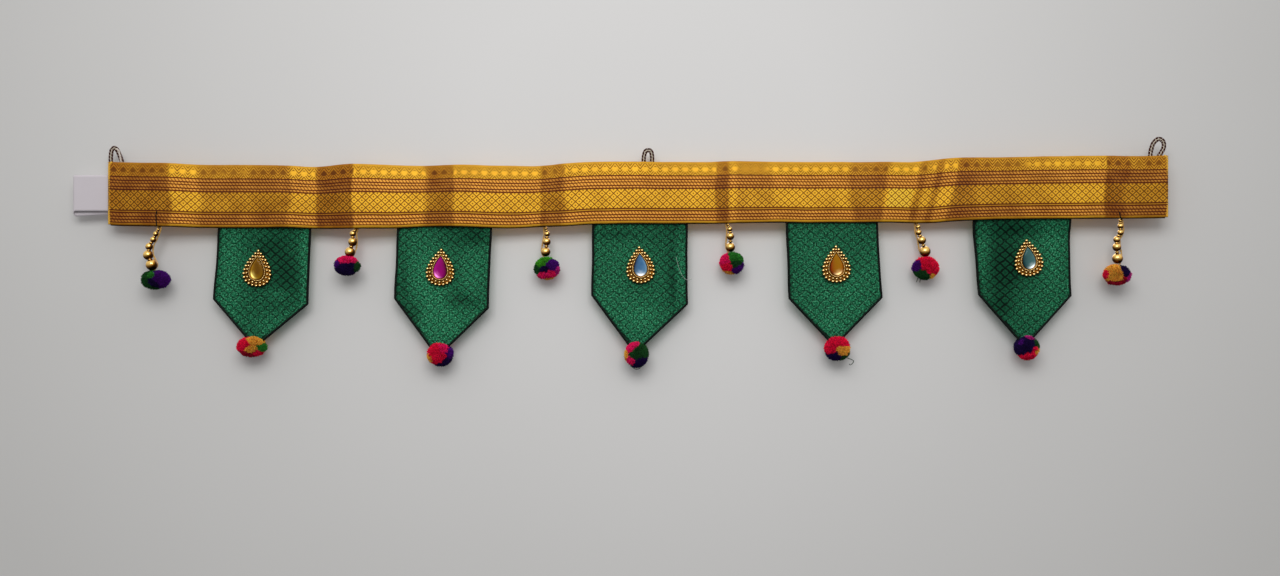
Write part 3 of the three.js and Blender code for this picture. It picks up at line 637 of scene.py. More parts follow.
def tube_parts(path, radius, sides, start):
    """Points, faces and flat places of a round tube along a path, its ends closed."""
    points, faces, flat = [], [], []
    run = 0.0
    side = path[1] - path[0]
    side = side.normalized().orthogonal()
    for i, centre in enumerate(path):
        ahead = (path[min(i + 1, len(path) - 1)] - path[max(i - 1, 0)]).normalized()
        side = (side - ahead * ahead.dot(side)).normalized()
        other = ahead.cross(side)
        run += (centre - path[max(i - 1, 0)]).length
        for k in range(sides):
            angle = 2 * math.pi * k / sides
            points.append(centre + radius * (math.cos(angle) * side + math.sin(angle) * other))
            flat.append((run / MM, radius / MM * angle))
    for i in range(len(path) - 1):
        for k in range(sides):
            a = start + i * sides + k
            b = start + i * sides + (k + 1) % sides
            faces.append((a, b, b + sides, a + sides))
    faces.append(tuple(start + k for k in reversed(range(sides))))
    faces.append(tuple(start + (len(path) - 1) * sides + k for k in range(sides)))
    return points, faces, flat


def make_tubes(name, paths, radius, sides, material):
    """One piece of round tubes along several paths."""
    points, faces, flat = [], [], []
    for path in paths:
        more_points, more_faces, more_flat = tube_parts(path, radius, sides, len(points))
        points += more_points
        faces += more_faces
        flat += more_flat
    return make_piece(name, points, faces, material, flat)


def node_points(name):
    """The corners of a solid as an array, in metres."""
    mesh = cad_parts[name].data
    places = np.zeros(len(mesh.vertices) * 3)
    mesh.vertices.foreach_get("co", places)
    return places.reshape(-1, 3)


def surface_of(name):
    """A solid's surface, for finding how deep it lies at any place."""
    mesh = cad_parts[name].data
    corners = [v.co.copy() for v in mesh.vertices]
    return BVHTree.FromPolygons(corners, [p.vertices[:] for p in mesh.polygons])


def middle_depth(tree, x, z):
    """The depth halfway between a thin solid's front and back at a place, or None beside it."""
    front = tree.ray_cast(Vector((x, -1, z)), Vector((0, 1, 0)))[0]
    back = tree.ray_cast(Vector((x, 1, z)), Vector((0, -1, 0)))[0]
    return (front.y + back.y) / 2 if front and back else None


def ease(edge0, edge1, value):
    """A soft step from 0 to 1 between two values."""
    t = min(max((value - edge0) / (edge1 - edge0), 0.0), 1.0)
    return t * t * (3 - 2 * t)


# The band

BAND_STEP = 1.6 * MM
BAND_THICK = 1.7 * MM
BAND_ROWS = 34
END_STITCH = 1.5 * MM
# Where folding for the packet left sharp lines: pixel, and how far back the line lies, in mm
SHARP_CREASES = [(186, 0.35), (354, -0.7), (546, -0.6), (727, 0.35), (925, -0.45), (1103, -0.6)]


def band_sections():
    """The band's solid from left to right: place along it, top, foot, and the depths of top and middle."""
    places = node_points("band")
    sections = []
    for x in np.unique(np.round(places[:, 0], 5)):
        ring = places[np.abs(places[:, 0] - x) < 2e-5]
        top = ring[ring[:, 2] > ring[:, 2].max() - 1e-5]
        foot = ring[ring[:, 2] < ring[:, 2].min() + 1e-5]
        centre = ring[np.abs(ring[:, 2] - (top[0, 2] + foot[0, 2]) / 2) < 2e-3]
        sections.append((x, top[:, 2].mean(), foot[:, 2].mean(), top[:, 1].mean(), centre[:, 1].mean()))
    sections = np.array(sections)
    # The edging over the cut ends needs a little room
    sections[0, 0] += 0.8 * MM
    sections[-1, 0] -= 1.7 * MM
    return sections


def along_sections(sections, column, x):
    """One column of the sections at any x, as a soft curve."""
    i = int(np.clip(np.searchsorted(sections[:, 0], x) - 1, 0, len(sections) - 2))
    near = [max(i - 1, 0), i, i + 1, min(i + 2, len(sections) - 1)]
    t = (x - sections[i, 0]) / (sections[i + 1, 0] - sections[i, 0])
    return soft_between(*sections[near, column], t)


def crease_lift(x):
    """How far the sharp lines across the band push a place of it back."""
    lift = 0.0
    for px, size in SHARP_CREASES:
        lift += size * MM * math.exp(-abs(x - at_pixel(px, 0).x) / (2.2 * MM))
    return lift


def band_depth(sections, x, share):
    """Depth of the band's middle at a place along it and a share of its height."""
    edge = along_sections(sections, 3, x)
    bow = along_sections(sections, 4, x) - edge
    ripple = noise.noise(Vector((x * 55, share * 2.0, 3.1))) * 0.35 * MM
    return edge + bow * math.sin(math.pi * share) + ripple + crease_lift(x)


def painted_fold_light(x, share):
    """The painted light of the band at a place along it, from 0 in the painted shade of a fold to 1 and
    over.
    """
    px = x / PIXEL + ORIGIN_PIXEL[0]
    sway = noise.noise(Vector((x * 14, share * 2.2, 4.0)))
    slant = (share - 0.5) * 14 * ease(870, 885, px) * (1 - ease(965, 985, px))
    lean = PAINTED_FOLD_LIGHT[0][1]
    for (end, before, soft), (_, after, _) in zip(PAINTED_FOLD_LIGHT, PAINTED_FOLD_LIGHT[1:]):
        place = px + slant + sway * soft * 0.9
        lean += (after - before) * ease(end - soft / 2, end + soft / 2, place)
    return lean


def make_band(sections, material):
    """The brocade band, with its folds and its slightly wavy edges."""
    left, right = sections[0, 0], sections[-1, 0]
    count = int((right - left) / BAND_STEP)
    rows, flat_rows, painted_fold_lights = [], [], []
    for r in range(BAND_ROWS + 1):
        share = r / BAND_ROWS
        row, flat, lean = [], [], []
        for c in range(count + 1):
            x = left + (right - left) * c / count
            top = along_sections(sections, 1, x) + noise.noise(Vector((x * 40, 0.0, 7.0))) * 0.3 * MM
            foot = along_sections(sections, 2, x) + noise.noise(Vector((x * 40, 5.0, 1.0))) * 0.3 * MM
            row.append((x, band_depth(sections, x, share), top + (foot - top) * share))
            flat.append(((x - left) / MM, share * BAND_HEIGHT))
            lean.append(painted_fold_light(x, share))
        rows.append(row)
        flat_rows.append(flat)
        painted_fold_lights.append(lean)
    band = cloth("brocade_band", rows, flat_rows, BAND_THICK, material)
    # The folds' painted light and shade, which the band's colour reads
    set_values(band, "lean", [painted_fold_lights, painted_fold_lights])
    return fit(band, "zari_band", "band")


def make_band_edging(sections, material):
    """The gold edging over both cut ends of the band, whipped with the same thread."""
    paths, edges = [], []
    for x, way in ((sections[0, 0], 1), (sections[-1, 0], -1)):
        top, foot = along_sections(sections, 1, x), along_sections(sections, 2, x)
        front = along_sections(sections, 3, x) - BAND_THICK / 2
        edge = [Vector((x + way * (3.0 - 2.6 * ease(0, 0.05, k / 30)) * MM if k < 2 else x + way * 0.4 * MM,
                        front + 0.2 * MM, top - (top - foot) * k / 30)) for k in range(31)]
        edges.append(smooth_curve(edge, 2))
        for k in range(int((top - foot) / END_STITCH)):
            z = top - (k + 0.5) * END_STITCH
            paths.append([Vector((x + way * along * MM, front + deep * MM, z - down * MM))
                          for along, deep, down in ((-0.7, 1.0, 0), (-0.1, -0.5, 0), (1.0, -0.55, 0.5),
                                                    (1.9, 0.3, 0.8))])
    stitches = make_tubes("band_end_stitches", paths, 0.36 * MM, 6, material)
    edging = make_tubes("band_end_edging", edges, 0.85 * MM, 8, material)
    return [fit(stitches, "zari_band"), fit(edging, "zari_band")]


def make_band_foot_line(sections, material):
    """A dark tube along the band's lower edge, which shows as a narrow dark line under it."""
    left, right = sections[0, 0] + 1.5 * MM, sections[-1, 0] - 1.5 * MM
    path = []
    for k in range(int((right - left) / (4 * MM)) + 1):
        x = left + k * 4 * MM
        path.append(Vector((x, band_depth(sections, x, 1.0) + 0.35 * MM,
                            along_sections(sections, 2, x) - 0.1 * MM)))
    return fit(make_tubes("band_dark_foot_line", [path], 0.75 * MM, 8, material), "zari_band")


# The flags

# How finely each flag is divided, across, down its sides and down its point
FLAG_COLUMNS = 44
FLAG_BODY_ROWS = 40
FLAG_POINT_ROWS = 30
FLAG_THICK = 1.3 * MM
HEM = 6.0 * MM
# How much of a flag lies behind the band, in mm
HIDDEN_TOP = 8
# Soft wrinkles of each flag in millimetres from its middle line at the band: from, to, lift and width
WRINKLES = {
    "flag_1": [(-24, -18, -30, -58, -0.5, 6), (12, -20, 26, -50, 0.35, 7)],
    "flag_2": [(8, -58, 30, -76, -0.7, 3.5), (4, -62, 20, -84, 0.5, 4), (-20, -20, -26, -60, 0.4, 8)],
    "flag_3": [(18, -16, 24, -58, -0.5, 6), (-22, -30, -30, -62, 0.4, 6)],
    "flag_4": [(-14, -60, -24, -76, -0.6, 4), (14, -16, 22, -56, 0.4, 7)],
    "flag_5": [(-22, -14, -28, -58, -0.5, 6), (18, -24, 24, -64, 0.4, 7)],
}


def flag_corners(name):
    """The corners of a flag's solid in x and z: top left, top right, left and right shoulder, and tip."""
    places = node_points(name)[:, [0, 2]]
    top = places[places[:, 1] > places[:, 1].max() - 1e-5]
    tip = places[places[:, 1] < places[:, 1].min() + 1e-5].mean(axis=0)
    left = places[(-places[:, 0] - 0.3 * places[:, 1]).argmax()]
    right = places[(places[:, 0] - 0.3 * places[:, 1]).argmax()]
    return top[top[:, 0].argmin()], top[top[:, 0].argmax()], left, right, tip


def side_bow(name, share):
    """How far a flag's side swings out of its straight line, in metres."""
    return noise.noise(Vector((share * 2.2, len(name) + ord(name[-1]) * 3.7, 0.5))) * 1.1 * MM


def flag_edge(name, corners, down, point, right):
    """A place on a flag's left or right edge: a share down its side, then a share along its point."""
    side, way = ("right", 1) if right else ("left", -1)
    top, shoulder = (corners[1], corners[3]) if right else (corners[0], corners[2])
    body = top + (shoulder - top) * down
    tip = corners[4] + np.array([way * 1.2 * MM, 0.0])
    bow = side_bow(name + side, down) * math.sin(math.pi * down)
    return body + (tip - body) * point + np.array([bow, 0.0]) * (1 - point)


def edge_distance(place, outline):
    """How far a place lies inside an outline of straight pieces."""
    away = []
    for a, b in zip(outline, outline[1:]):
        share = np.clip(np.dot(place - a, b - a) / np.dot(b - a, b - a), 0, 1)
        away.append(np.linalg.norm(place - (a + (b - a) * share)))
    return min(away)


def wrinkle_lift(name, x, z):
    """The height of a flag's soft wrinkles at a place measured in mm from its middle line at the band."""
    lift = 0.0
    for x0, z0, x1, z1, rise, wide in WRINKLES[name]:
        run = Vector((x1 - x0, z1 - z0))
        place = Vector((x - x0, z - z0))
        share = min(max(place.dot(run) / run.length_squared, 0.0), 1.0)
        lift += rise * math.exp(-((place - run * share).length / wide) ** 2)
    return lift * MM


def painted_cloth_sheen(name, across, up):
    """The painted light and shade of a flag's satin at a place, in mm from its middle line at the band."""
    painted_glow = BASE_PAINTED_SHEEN
    for x, z, wide, tall, amount in PAINTED_SHEEN_SPOTS[name]:
        painted_glow += amount * math.exp(-((across - x) / wide) ** 2 - ((up - z) / tall) ** 2)
    return painted_glow


def flag_depths(name, places, tip):
    """The depth of a flag's solid at each of its places, softened."""
    tree = surface_of(name)
    depths = np.zeros(places.shape[:2])
    known = np.zeros(places.shape[:2], dtype=bool)
    for r, c in np.ndindex(*depths.shape):
        inner = tip + (places[r, c] - tip) * 0.985
        depth = middle_depth(tree, inner[0], inner[1])
        known[r, c] = depth is not None
        depths[r, c] = depth or 0.0
    depths[~known] = depths[known].mean()
    for _ in range(10):
        padded = np.pad(depths, 1, mode="edge")
        beside = padded[:-2, 1:-1] + padded[2:, 1:-1] + padded[1:-1, :-2] + padded[1:-1, 2:]
        depths = (beside + 4 * depths) / 8
    return depths


def make_flag(name, material, binding):
    """A pointed flag: brocade with a turned hem, soft wrinkles and a dark bound edge."""
    corners = flag_corners(name)
    steps = [(r / FLAG_BODY_ROWS, 0.0) for r in range(FLAG_BODY_ROWS + 1)]
    steps += [(1.0, (r + 1) / FLAG_POINT_ROWS) for r in range(FLAG_POINT_ROWS)]
    outline = [corners[i] for i in (0, 2, 4, 3, 1)]
    centre_x = (corners[0][0] + corners[1][0]) / 2
    places = np.zeros((len(steps), FLAG_COLUMNS + 1, 2))
    for r, step in enumerate(steps):
        left, right = [flag_edge(name, corners, *step, side) for side in (False, True)]
        for c in range(FLAG_COLUMNS + 1):
            places[r, c] = left + (right - left) * c / FLAG_COLUMNS
    depths = flag_depths(name, places, corners[4])
    rows, flat_rows, painted_shines = [], [], []
    for r in range(len(steps)):
        row, flat, painted_shine = [], [], []
        for c in range(FLAG_COLUMNS + 1):
            x, z = places[r, c]
            below = (corners[0][1] - z) / MM
            across, up = (x - centre_x) / MM, HIDDEN_TOP - below
            inside = edge_distance(places[r, c], outline)
            free = ease(10, 26, below)
            hem = 0.22 * MM * (1 - ease(HEM - 0.8 * MM, HEM + 0.6 * MM, inside))
            soft = noise.noise(Vector((x * 42, z * 42, 2.0))) * 0.35 * MM
            row.append((x, depths[r, c] - (wrinkle_lift(name, across, up) + soft) * free - hem, z))
            flat.append((across, below))
            # Painted light and shade: brighter along the hem, painted shade near the edges, more on the
            # left, and random patches
            painted_glow = painted_cloth_sheen(name, across, up) + 0.16 * (1 - ease(0.0, HEM * 1.2, inside))
            shade = 0.7 * (1 - ease(0.9 * MM, 2.6 * MM, inside)) * (1.0 if across < 0 else 0.4)
            painted_shine.append(painted_glow - shade + 0.3 * noise.noise(Vector((x * 25, z * 25, 9.0))))
        rows.append(row)
        flat_rows.append(flat)
        painted_shines.append(painted_shine)
    flag = cloth("brocade_" + name, rows, flat_rows, FLAG_THICK, material)
    set_values(flag, "painted_sheen", np.clip([painted_shines, painted_shines], 0, 1))
    fit(flag, "green_brocade", name)
    edge = [row[0] for row in rows[2:]] + [row[-1] for row in rows[:1:-1]]
    bound = make_tubes("bound_edge_of_" + name, [[Vector(p) for p in edge]], 1.15 * MM, 8, binding)
    fit(bound, "green_brocade")
    area = (corners[1][0] - corners[0][0]) * (corners[0][1] - corners[2][1])
    area += (corners[3][0] - corners[2][0]) * (corners[2][1] - corners[4][1]) / 2


# The jewelled drops

# Rings of the plate and of the rim round the stone: width, height and depth in mm
PLATE_RINGS = [(22.4, 29.8, 0.1), (23.2, 30.6, 0.5), (22.9, 30.3, 1.2), (22.2, 29.6, 1.4)]
RIM_RINGS = [(14.6, 22.4, 1.2), (14.2, 22.0, 2.6), (12.6, 20.6, 3.0), (11.4, 19.6, 2.6), (11.2, 19.4, 1.6)]
# Rows of balls: the row's width and height, their number, their depth and radius, all in mm
OUTER_BEADS = (22.8, 30.1, 24, 1.5, 1.42)
INNER_BEADS = (17.8, 25.2, 20, 1.9, 1.15)
ROPE_BEADS = (13.6, 21.4, 44, 2.85, 0.6, 8, 6)
# The stone's cut from its back to its table: width, height and depth in mm, and its shares of bevel,
# painted highlight and painted shade
STONE_CUT = [(10.6, 18.4, 1.9, 1.0, 0.0, 1.0), (11.0, 18.8, 2.9, 1.0, 0.9, 1.0),
             (9.4, 16.8, 3.7, 0.8, 1.0, 0.9), (7.6, 14.6, 4.0, 0.3, 0.2, 0.6),
             (3.6, 8.0, 4.1, 0.1, 0.0, 0.2)]
STONE_SIDES = 28
STONE_SLOTS = ["stone_amber", "stone_magenta", "stone_blue", "stone_amber", "stone_grey"]


def teardrop(width, height, count):
    """Evenly spaced places round a teardrop with its tip up, in x and z."""
    fine = []
    for i in range(721):
        turn = 2 * math.pi * i / 720
        fine.append(Vector((width / 2 * math.sin(turn) * math.sin(turn / 2) / 0.77,
                            height / 2 * math.cos(turn))))
    runs = [0.0]
    for a, b in zip(fine, fine[1:]):
        runs.append(runs[-1] + (b - a).length)
    spaced = []
    for k in range(count):
        want = runs[-1] * k / count
        i = max(j for j, run in enumerate(runs) if run <= want)
        share = (want - runs[i]) / (runs[i + 1] - runs[i])
        spaced.append(fine[i].lerp(fine[i + 1], share))
    return spaced


def add_rings(shape, rings, count=60, finish=0):
    """Skins pear-shaped rings in a bmesh, each a width, height and depth in mm, and closes both ends."""
    made = [[shape.verts.new((p.x * MM, -depth * MM, p.y * MM)) for p in teardrop(width, height, count)]
            for width, height, depth in rings]
    faces = []
    for low, high in zip(made, made[1:]):
        for k in range(count):
            n = (k + 1) % count
            faces.append((low[k], low[n], high[n], high[k]))
    for corners in faces + [made[0][::-1], made[-1]]:
        shape.faces.new(corners).material_index = finish


def add_balls(shape, width, height, count, depth, radius, around=14, rings=9):
    """A row of smooth balls round a pear shape in a bmesh, its measures in mm."""
    for p in teardrop(width, height, count):
        place = Vector((p.x * MM, -depth * MM, p.y * MM))
        turn = Matrix.Translation(place) @ Matrix.Rotation(math.pi / 2, 4, "X")
        bmesh.ops.create_uvsphere(shape, u_segments=around, v_segments=rings, radius=radius * MM,
                                  matrix=turn)


def finish_shape(name, shape, materials, place, smooth=True):
    """Turns a bmesh into a piece set in its place on the hanging."""
    bmesh.ops.recalc_face_normals(shape, faces=shape.faces)
    shape.transform(place)
    mesh = bpy.data.meshes.new(name)
    shape.to_mesh(mesh)
    shape.free()
    return show(name, mesh, materials, smooth)


def drop_place(index):
    """Where a drop's setting sits, with the lean of its tip."""
    places = node_points(f"brooch_setting_{index}")
    tip = places[places[:, 2].argmax()]
    foot = places[places[:, 2].argmin()]
    lean = math.atan2(tip[0] - foot[0], tip[2] - foot[2])
    centre = Vector(((tip[0] + foot[0]) / 2, places[:, 1].max(), (tip[2] + foot[2]) / 2))
    return Matrix.Translation(centre) @ Matrix.Rotation(lean, 4, "Y")


def make_drop(index, gold, plate, stone):
    """A pear-shaped setting with two rows of beads and a rope rim round a flat-topped cut stone."""
    place = drop_place(index)
    shape = bmesh.new()
    add_rings(shape, PLATE_RINGS, finish=1)
    add_balls(shape, *OUTER_BEADS)
    add_balls(shape, *INNER_BEADS)
    add_rings(shape, RIM_RINGS, finish=1)
    add_balls(shape, *ROPE_BEADS)
    setting = finish_shape(f"jewel_setting_{index}", shape, [gold, plate], place)
    fit(setting, "gold_setting", f"brooch_setting_{index}")
    cut = bmesh.new()
    add_rings(cut, [level[:3] for level in STONE_CUT], STONE_SIDES)
    jewel = finish_shape(f"cut_stone_{index}", cut, [stone], place, smooth=False)
    bevels, painted_highlights, painted_shades = [], [], []
    for _, _, _, bevel, painted_highlight, painted_shade in STONE_CUT:
        for k in range(STONE_SIDES):
            turn = 360 * k / STONE_SIDES
            facing = math.cos(math.radians(turn - PAINTED_HIGHLIGHT_TURNS[index - 1]))
            away = math.cos(math.radians(turn - PAINTED_SHADE_TURNS[index - 1]))
            # The bevel is drawn stronger towards the painted highlight; the highlight and shade shares are
            # painted light
            bevels.append(bevel * (0.65 + 0.35 * facing))
            painted_highlights.append(painted_highlight * max(0.0, facing) ** 12)
            painted_shades.append(painted_shade * max(0.0, away))
    set_values(jewel, "bevel", bevels)
    set_values(jewel, "painted_highlight", painted_highlights)
    set_values(jewel, "painted_shade", painted_shades)
    fit(jewel, STONE_SLOTS[index - 1], f"brooch_stone_{index}")


# The bead strings

def string_depth(index):
    """The depth of a bead string's middle."""
    low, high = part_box(f"bead_string_{index}")
    return high[1] - STRINGS[index - 1][-1][2] / 2 * MM


def make_string(index, gold, thread):
    """Gold beads of growing size with small spacers, on a doubled gold thread that shows at one side."""
    beads = STRINGS[index - 1]
    depth = string_depth(index)
    centres = [at_pixel(px, py, depth) for px, py, _ in beads]
    shape = bmesh.new()
    for i, (centre, (_, _, size)) in enumerate(zip(centres, beads)):
        before = centres[max(i - 1, 0)]
        after = centres[min(i + 1, len(centres) - 1)]
        turn = (after - before).to_track_quat("Z", "X").to_matrix().to_4x4()
        balls = [(28, 18, size / 2, Matrix.Translation(centre) @ turn)]
        if i:
            gap = centre - before
            reach = beads[i - 1][2] / 2 * MM
            room = gap.length - reach - size / 2 * MM
            neck = before + gap.normalized() * (reach + room / 2)
            balls.append((14, 8, min(1.9, size * 0.33),
                          Matrix.Translation(neck) @ turn @ Matrix.Diagonal((1, 1, 0.55, 1))))
        for around, rings, radius, place in balls:
            bmesh.ops.create_uvsphere(shape, u_segments=around, v_segments=rings, radius=radius * MM,
                                      matrix=place)
    string = finish_shape(f"gold_beads_{index}", shape, [gold], Matrix.Identity(4))
    fit(string, "gold_beads", f"bead_string_{index}")

    top = centres[0] + Vector((0, 0, 4.5 * MM))
    last = beads[-1][2] / 2 * MM
    side = STRAND_SIDE[index - 1]
    strand = [top + Vector((side * 0.8 * MM, 0, 0))]
    for centre, (_, _, size) in zip(centres, beads):
        strand.append(centre + Vector((side * (size * 0.36 + 0.9) * MM, size * 0.16 * MM, 0)))
    strand.append(centres[-1] + Vector((side * 1.5 * MM, 0, -last - 0.6 * MM)))
    paths = [smooth_curve([top] + centres + [centres[-1] - Vector((0, 0, last))], 4)]
    for start in (0, math.pi):
        paths.append(wound_about(smooth_curve(strand, 6), 0.5 * MM, 2.6 * MM, start))
    fit(make_tubes(f"string_thread_{index}", paths, 0.46 * MM, 8, thread), "gold_beads")


# The pompoms

# Each pompom's yarn ends: their number, their sides and half their width
PILE_ENDS = 4200
PILE_SIDES = 3
YARN_END = 0.34 * MM


def dye_at(patches, way):
    """The wool colour at a direction of the ball, and how deep the groove between two patches is there."""
    away = []
    ragged = noise.noise_vector(way * 5.0) * 0.16
    for x, z, share, wool in patches:
        centre = Vector((x, -math.sqrt(max(0.06, 1 - x * x - z * z)), z)).normalized()
        away.append(((way + ragged - centre).length / share, wool))
    away.sort()
    between = (away[1][0] - away[0][0]) / 0.2
    return linear(WOOL[away[0][1]]), math.exp(-between * between)


def make_pompom(name, material, presses):
    """A clipped wool pompom: a close ball of yarn ends round a packed core, dyed in patches."""
    low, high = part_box("pompom_" + name)
    centre = (Vector(low) + Vector(high)) / 2
    size = (Vector(high) - Vector(low)) / 2
    chance = random.Random(name)
    patches = PATCHES[name]
    offset = Vector((ord(name[-1]) * 1.7, len(name), 0))
    points, colours = [], []
    core = bmesh.new()
    bmesh.ops.create_icosphere(core, subdivisions=4, radius=0.86)
    for vertex in core.verts:
        colour, groove = dye_at(patches, vertex.co.normalized())
        points.append(vertex.co * (1 - 0.06 * groove))
        # The core is painted dark, as shade in the gaps between the yarn ends
        colours.append([0.3 * share for share in colour[:3]] + [1.0])
    faces = [tuple(v.index for v in face.verts) for face in core.faces]
    core.free()
    for i in range(PILE_ENDS):
        height = 1 - 2 * (i + 0.5) / PILE_ENDS
        turn = i * math.pi * (3 - math.sqrt(5))
        wide = math.sqrt(1 - height * height)
        way = Vector((wide * math.cos(turn), wide * math.sin(turn), height))
        colour, groove = dye_at(patches, way)
        lumps = 0.05 * noise.noise(way * 2.6 + offset) - 0.07 * groove
        tip = way * (0.99 + lumps + chance.uniform(-0.05, 0.03))
        tip += Vector([chance.uniform(-0.04, 0.04) for _ in range(3)])
        if any((centre + tip * size - bead).length < radius for bead, radius in presses):
            continue
        value = chance.choice((0.55, 0.8, 1.0, 1.15, 1.4, 1.8))
        side = way.orthogonal().normalized()
        other = way.cross(side)
        first = len(points)
        # Each end is painted dark at its root as shade, and takes a random lightness at its tip
        for along, grow, light in ((way * 0.76, 1.0, 0.4), (tip, 0.8, value)):
            for k in range(PILE_SIDES):
                angle = 2 * math.pi * k / PILE_SIDES + i
                around = (math.cos(angle) * side + math.sin(angle) * other) * (YARN_END * grow / size.x)
                points.append(along + around)
                colours.append([min(1.0, light * share) for share in colour[:3]] + [1.0])
        for k in range(PILE_SIDES):
            n = (k + 1) % PILE_SIDES
            faces.append((first + k, first + n, first + PILE_SIDES + n, first + PILE_SIDES + k))
        faces.append(tuple(first + PILE_SIDES + k for k in range(PILE_SIDES)))
    pompom = make_piece("wool_pompom_" + name, [centre + p * size for p in points], faces, material,
                        smooth=False)
    dye_and_shade = pompom.data.attributes.new("dye_and_shade", "FLOAT_COLOR", "POINT")
    dye_and_shade.data.foreach_set("color", np.asarray(colours, dtype=np.float32).ravel())
    fit(pompom, "wool_" + name, "pompom_" + name)


# The loops, the label and the sewing threads

# The spare strand beside the left loop, in pixels of the photograph
SPARE_STRAND = [(115.5, 148.5), (117.6, 150.5), (118.6, 154), (119.6, 158), (120.2, 165)]
RIBBON_THICK = 0.6 * MM
# How far the folded ribbon's back layer has slipped down
RIBBON_SLIP = 4.3 * MM
# Loose threads: piece, thread, colour, radius in mm, sides, steps, and routes in pixels, each with its
# depth in mm, 0 for one that lies on the band
SEWING = [
    ("tacking_threads", "black_thread", BLACK_THREAD, 0.45, 6, 6,
     [(0, [(159.2, 211.5), (158.3, 216), (158.6, 222), (158.7, 226)]),
      (0, [(1117, 212.5), (1117.6, 216), (1119.2, 220.5)])]),
    ("loose_wool_ends", "wool_end", WOOL_END, 0.3, 6, 6,
     [(-4, [(845, 357.5), (849, 358.5), (852.9, 360.5), (852.3, 363), (850, 364.8), (848.7, 363.7)]),
      (-5, [(630, 361.5), (631.5, 366), (635.5, 368.9), (639.5, 368.2), (641.5, 365)]),
      (-4, [(917.5, 277), (916.6, 280.3), (915.8, 282)]),
      (-5, [(919.5, 279), (919, 282.5)])]),
    ("loose_white_hair", "white_hair", WHITE_HAIR, 0.16, 5, 8,
     [(-3.5, [(676, 257), (679, 268), (682.5, 276), (687, 280), (692, 279)])]),
]

def make_loop(name, strands):
    """A hanging loop of two dark cords with a bright one between them and a fine one wound round all."""
    low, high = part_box(name)
    depth = (low[1] + high[1]) / 2
    path = smooth_curve([Vector((x * MM, depth, z * MM)) for x, z in LOOPS[name]], 20)
    for s, (label, material, radius, away, pitch) in enumerate(strands):
        turns = (math.pi / 2, -math.pi / 2) if away else (0.0,)
        paths = [wound_about(path, away, pitch, turn) for turn in turns]
        piece = make_tubes(f"{name}_{label}_strand", paths, radius, 7, material)
        fit(piece, "loop_cord", *([name] if s == 0 else []))
    if name == "loop_left":
        spare = smooth_curve([at_pixel(px, py, depth - 0.8 * MM) for px, py in SPARE_STRAND], 20)
        wound = [wound_about(spare, 0.45 * MM, 2.2 * MM, turn) for turn in (0.0, math.pi)]
        fit(make_tubes("spare_silver_strand", wound, 0.4 * MM, 7, strands[-1][1]), "loop_cord")


def make_label(material):
    """The bare ribbon label, folded double and caught behind the band's left end."""
    low, high = (Vector(c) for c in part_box("label"))
    front, back = low.y + RIBBON_THICK / 2, high.y - RIBBON_THICK / 2
    bend = (back - front) / 2
    tall = high.z - low.z - RIBBON_SLIP
    long = high.x - low.x - bend
    route = [(high.x - long * k / 24, front, 0.0) for k in range(25)]
    for k in range(1, 12):
        turn = math.pi * k / 12
        route.append((low.x + bend - bend * math.sin(turn), front + bend * (1 - math.cos(turn)),
                      RIBBON_SLIP * k / 12))
    route += [(low.x + bend + long * k / 24, back, RIBBON_SLIP * (1 - k / 48)) for k in range(25)]
    rows, flat_rows = [], []
    run = 0.0
    for i, (x, y, slip) in enumerate(route):
        run += math.dist(route[max(i - 1, 0)][:2], (x, y)) / MM
        row, flat = [], []
        for k in range(21):
            share = k / 20
            wave = noise.noise(Vector((x * 60, share * 1.5, y * 200))) * 0.25 * MM
            row.append((x, y + wave, high.z - slip - tall * share))
            flat.append((run, share * tall / MM))
        rows.append(row)
        flat_rows.append(flat)
    label = cloth("ribbon_label", rows, flat_rows, RIBBON_THICK, material)
    fit(label, "white_ribbon", "label")


def make_sewing(sections):
    """The hand-sewn threads: black tacks above two strings, and the loose ends that were left."""
    for name, thread, colour, radius, sides, steps, routes in SEWING:
        paths = []
        for depth, route in routes:
            places = [at_pixel(px, py, depth * MM) for px, py in route]
            if depth == 0:
                for place in places:
                    top, foot = along_sections(sections, 1, place.x), along_sections(sections, 2, place.x)
                    middle = band_depth(sections, place.x, (top - place.z) / (top - foot))
                    place.y = middle - BAND_THICK / 2 - 0.3 * MM
            paths.append(smooth_curve(places, steps))
        fit(make_tubes(name, paths, radius * MM, sides, spun_thread(thread, colour)), "loop_cord")


# The stage, the lights and the camera

def make_stage():
    """A pale wall close behind the hanging and a pale floor far below it."""
    deep = max(point[1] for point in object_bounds()) + 0.4 * MM
    wall = make_piece("pale_wall", [(-6, deep, -1.2), (6, deep, -1.2), (6, deep, 3.5), (-6, deep, 3.5)],
                      [(0, 1, 2, 3)], one_sided_wall("wall_paint", *WALL_PAINT_AND_FALLOFF), smooth=False)
    floor = make_piece("pale_floor", [(-9, -9, -1.2), (9, -9, -1.2), (9, 9, -1.2), (-9, 9, -1.2)],
                       [(0, 1, 2, 3)], one_sided_wall("floor_paint", *FLOOR_PAINT_AND_FALLOFF), smooth=False)
    wall.visible_shadow = False
    for piece in (wall, floor):
        piece.visible_diffuse = False
        piece.visible_glossy = False
    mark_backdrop(wall, floor)


def add_light(name, place, target, size, power):
    """A soft rectangular light that looks at a place."""
    data = bpy.data.lights.new(name, "AREA")
    data.shape = "RECTANGLE"
    data.size, data.size_y = size
    data.energy = power
    light = bpy.data.objects.new(name, data)
    light.location = place
    light.rotation_euler = (Vector(target) - Vector(place)).to_track_quat("-Z", "Y").to_euler()
    bpy.context.scene.collection.objects.link(light)


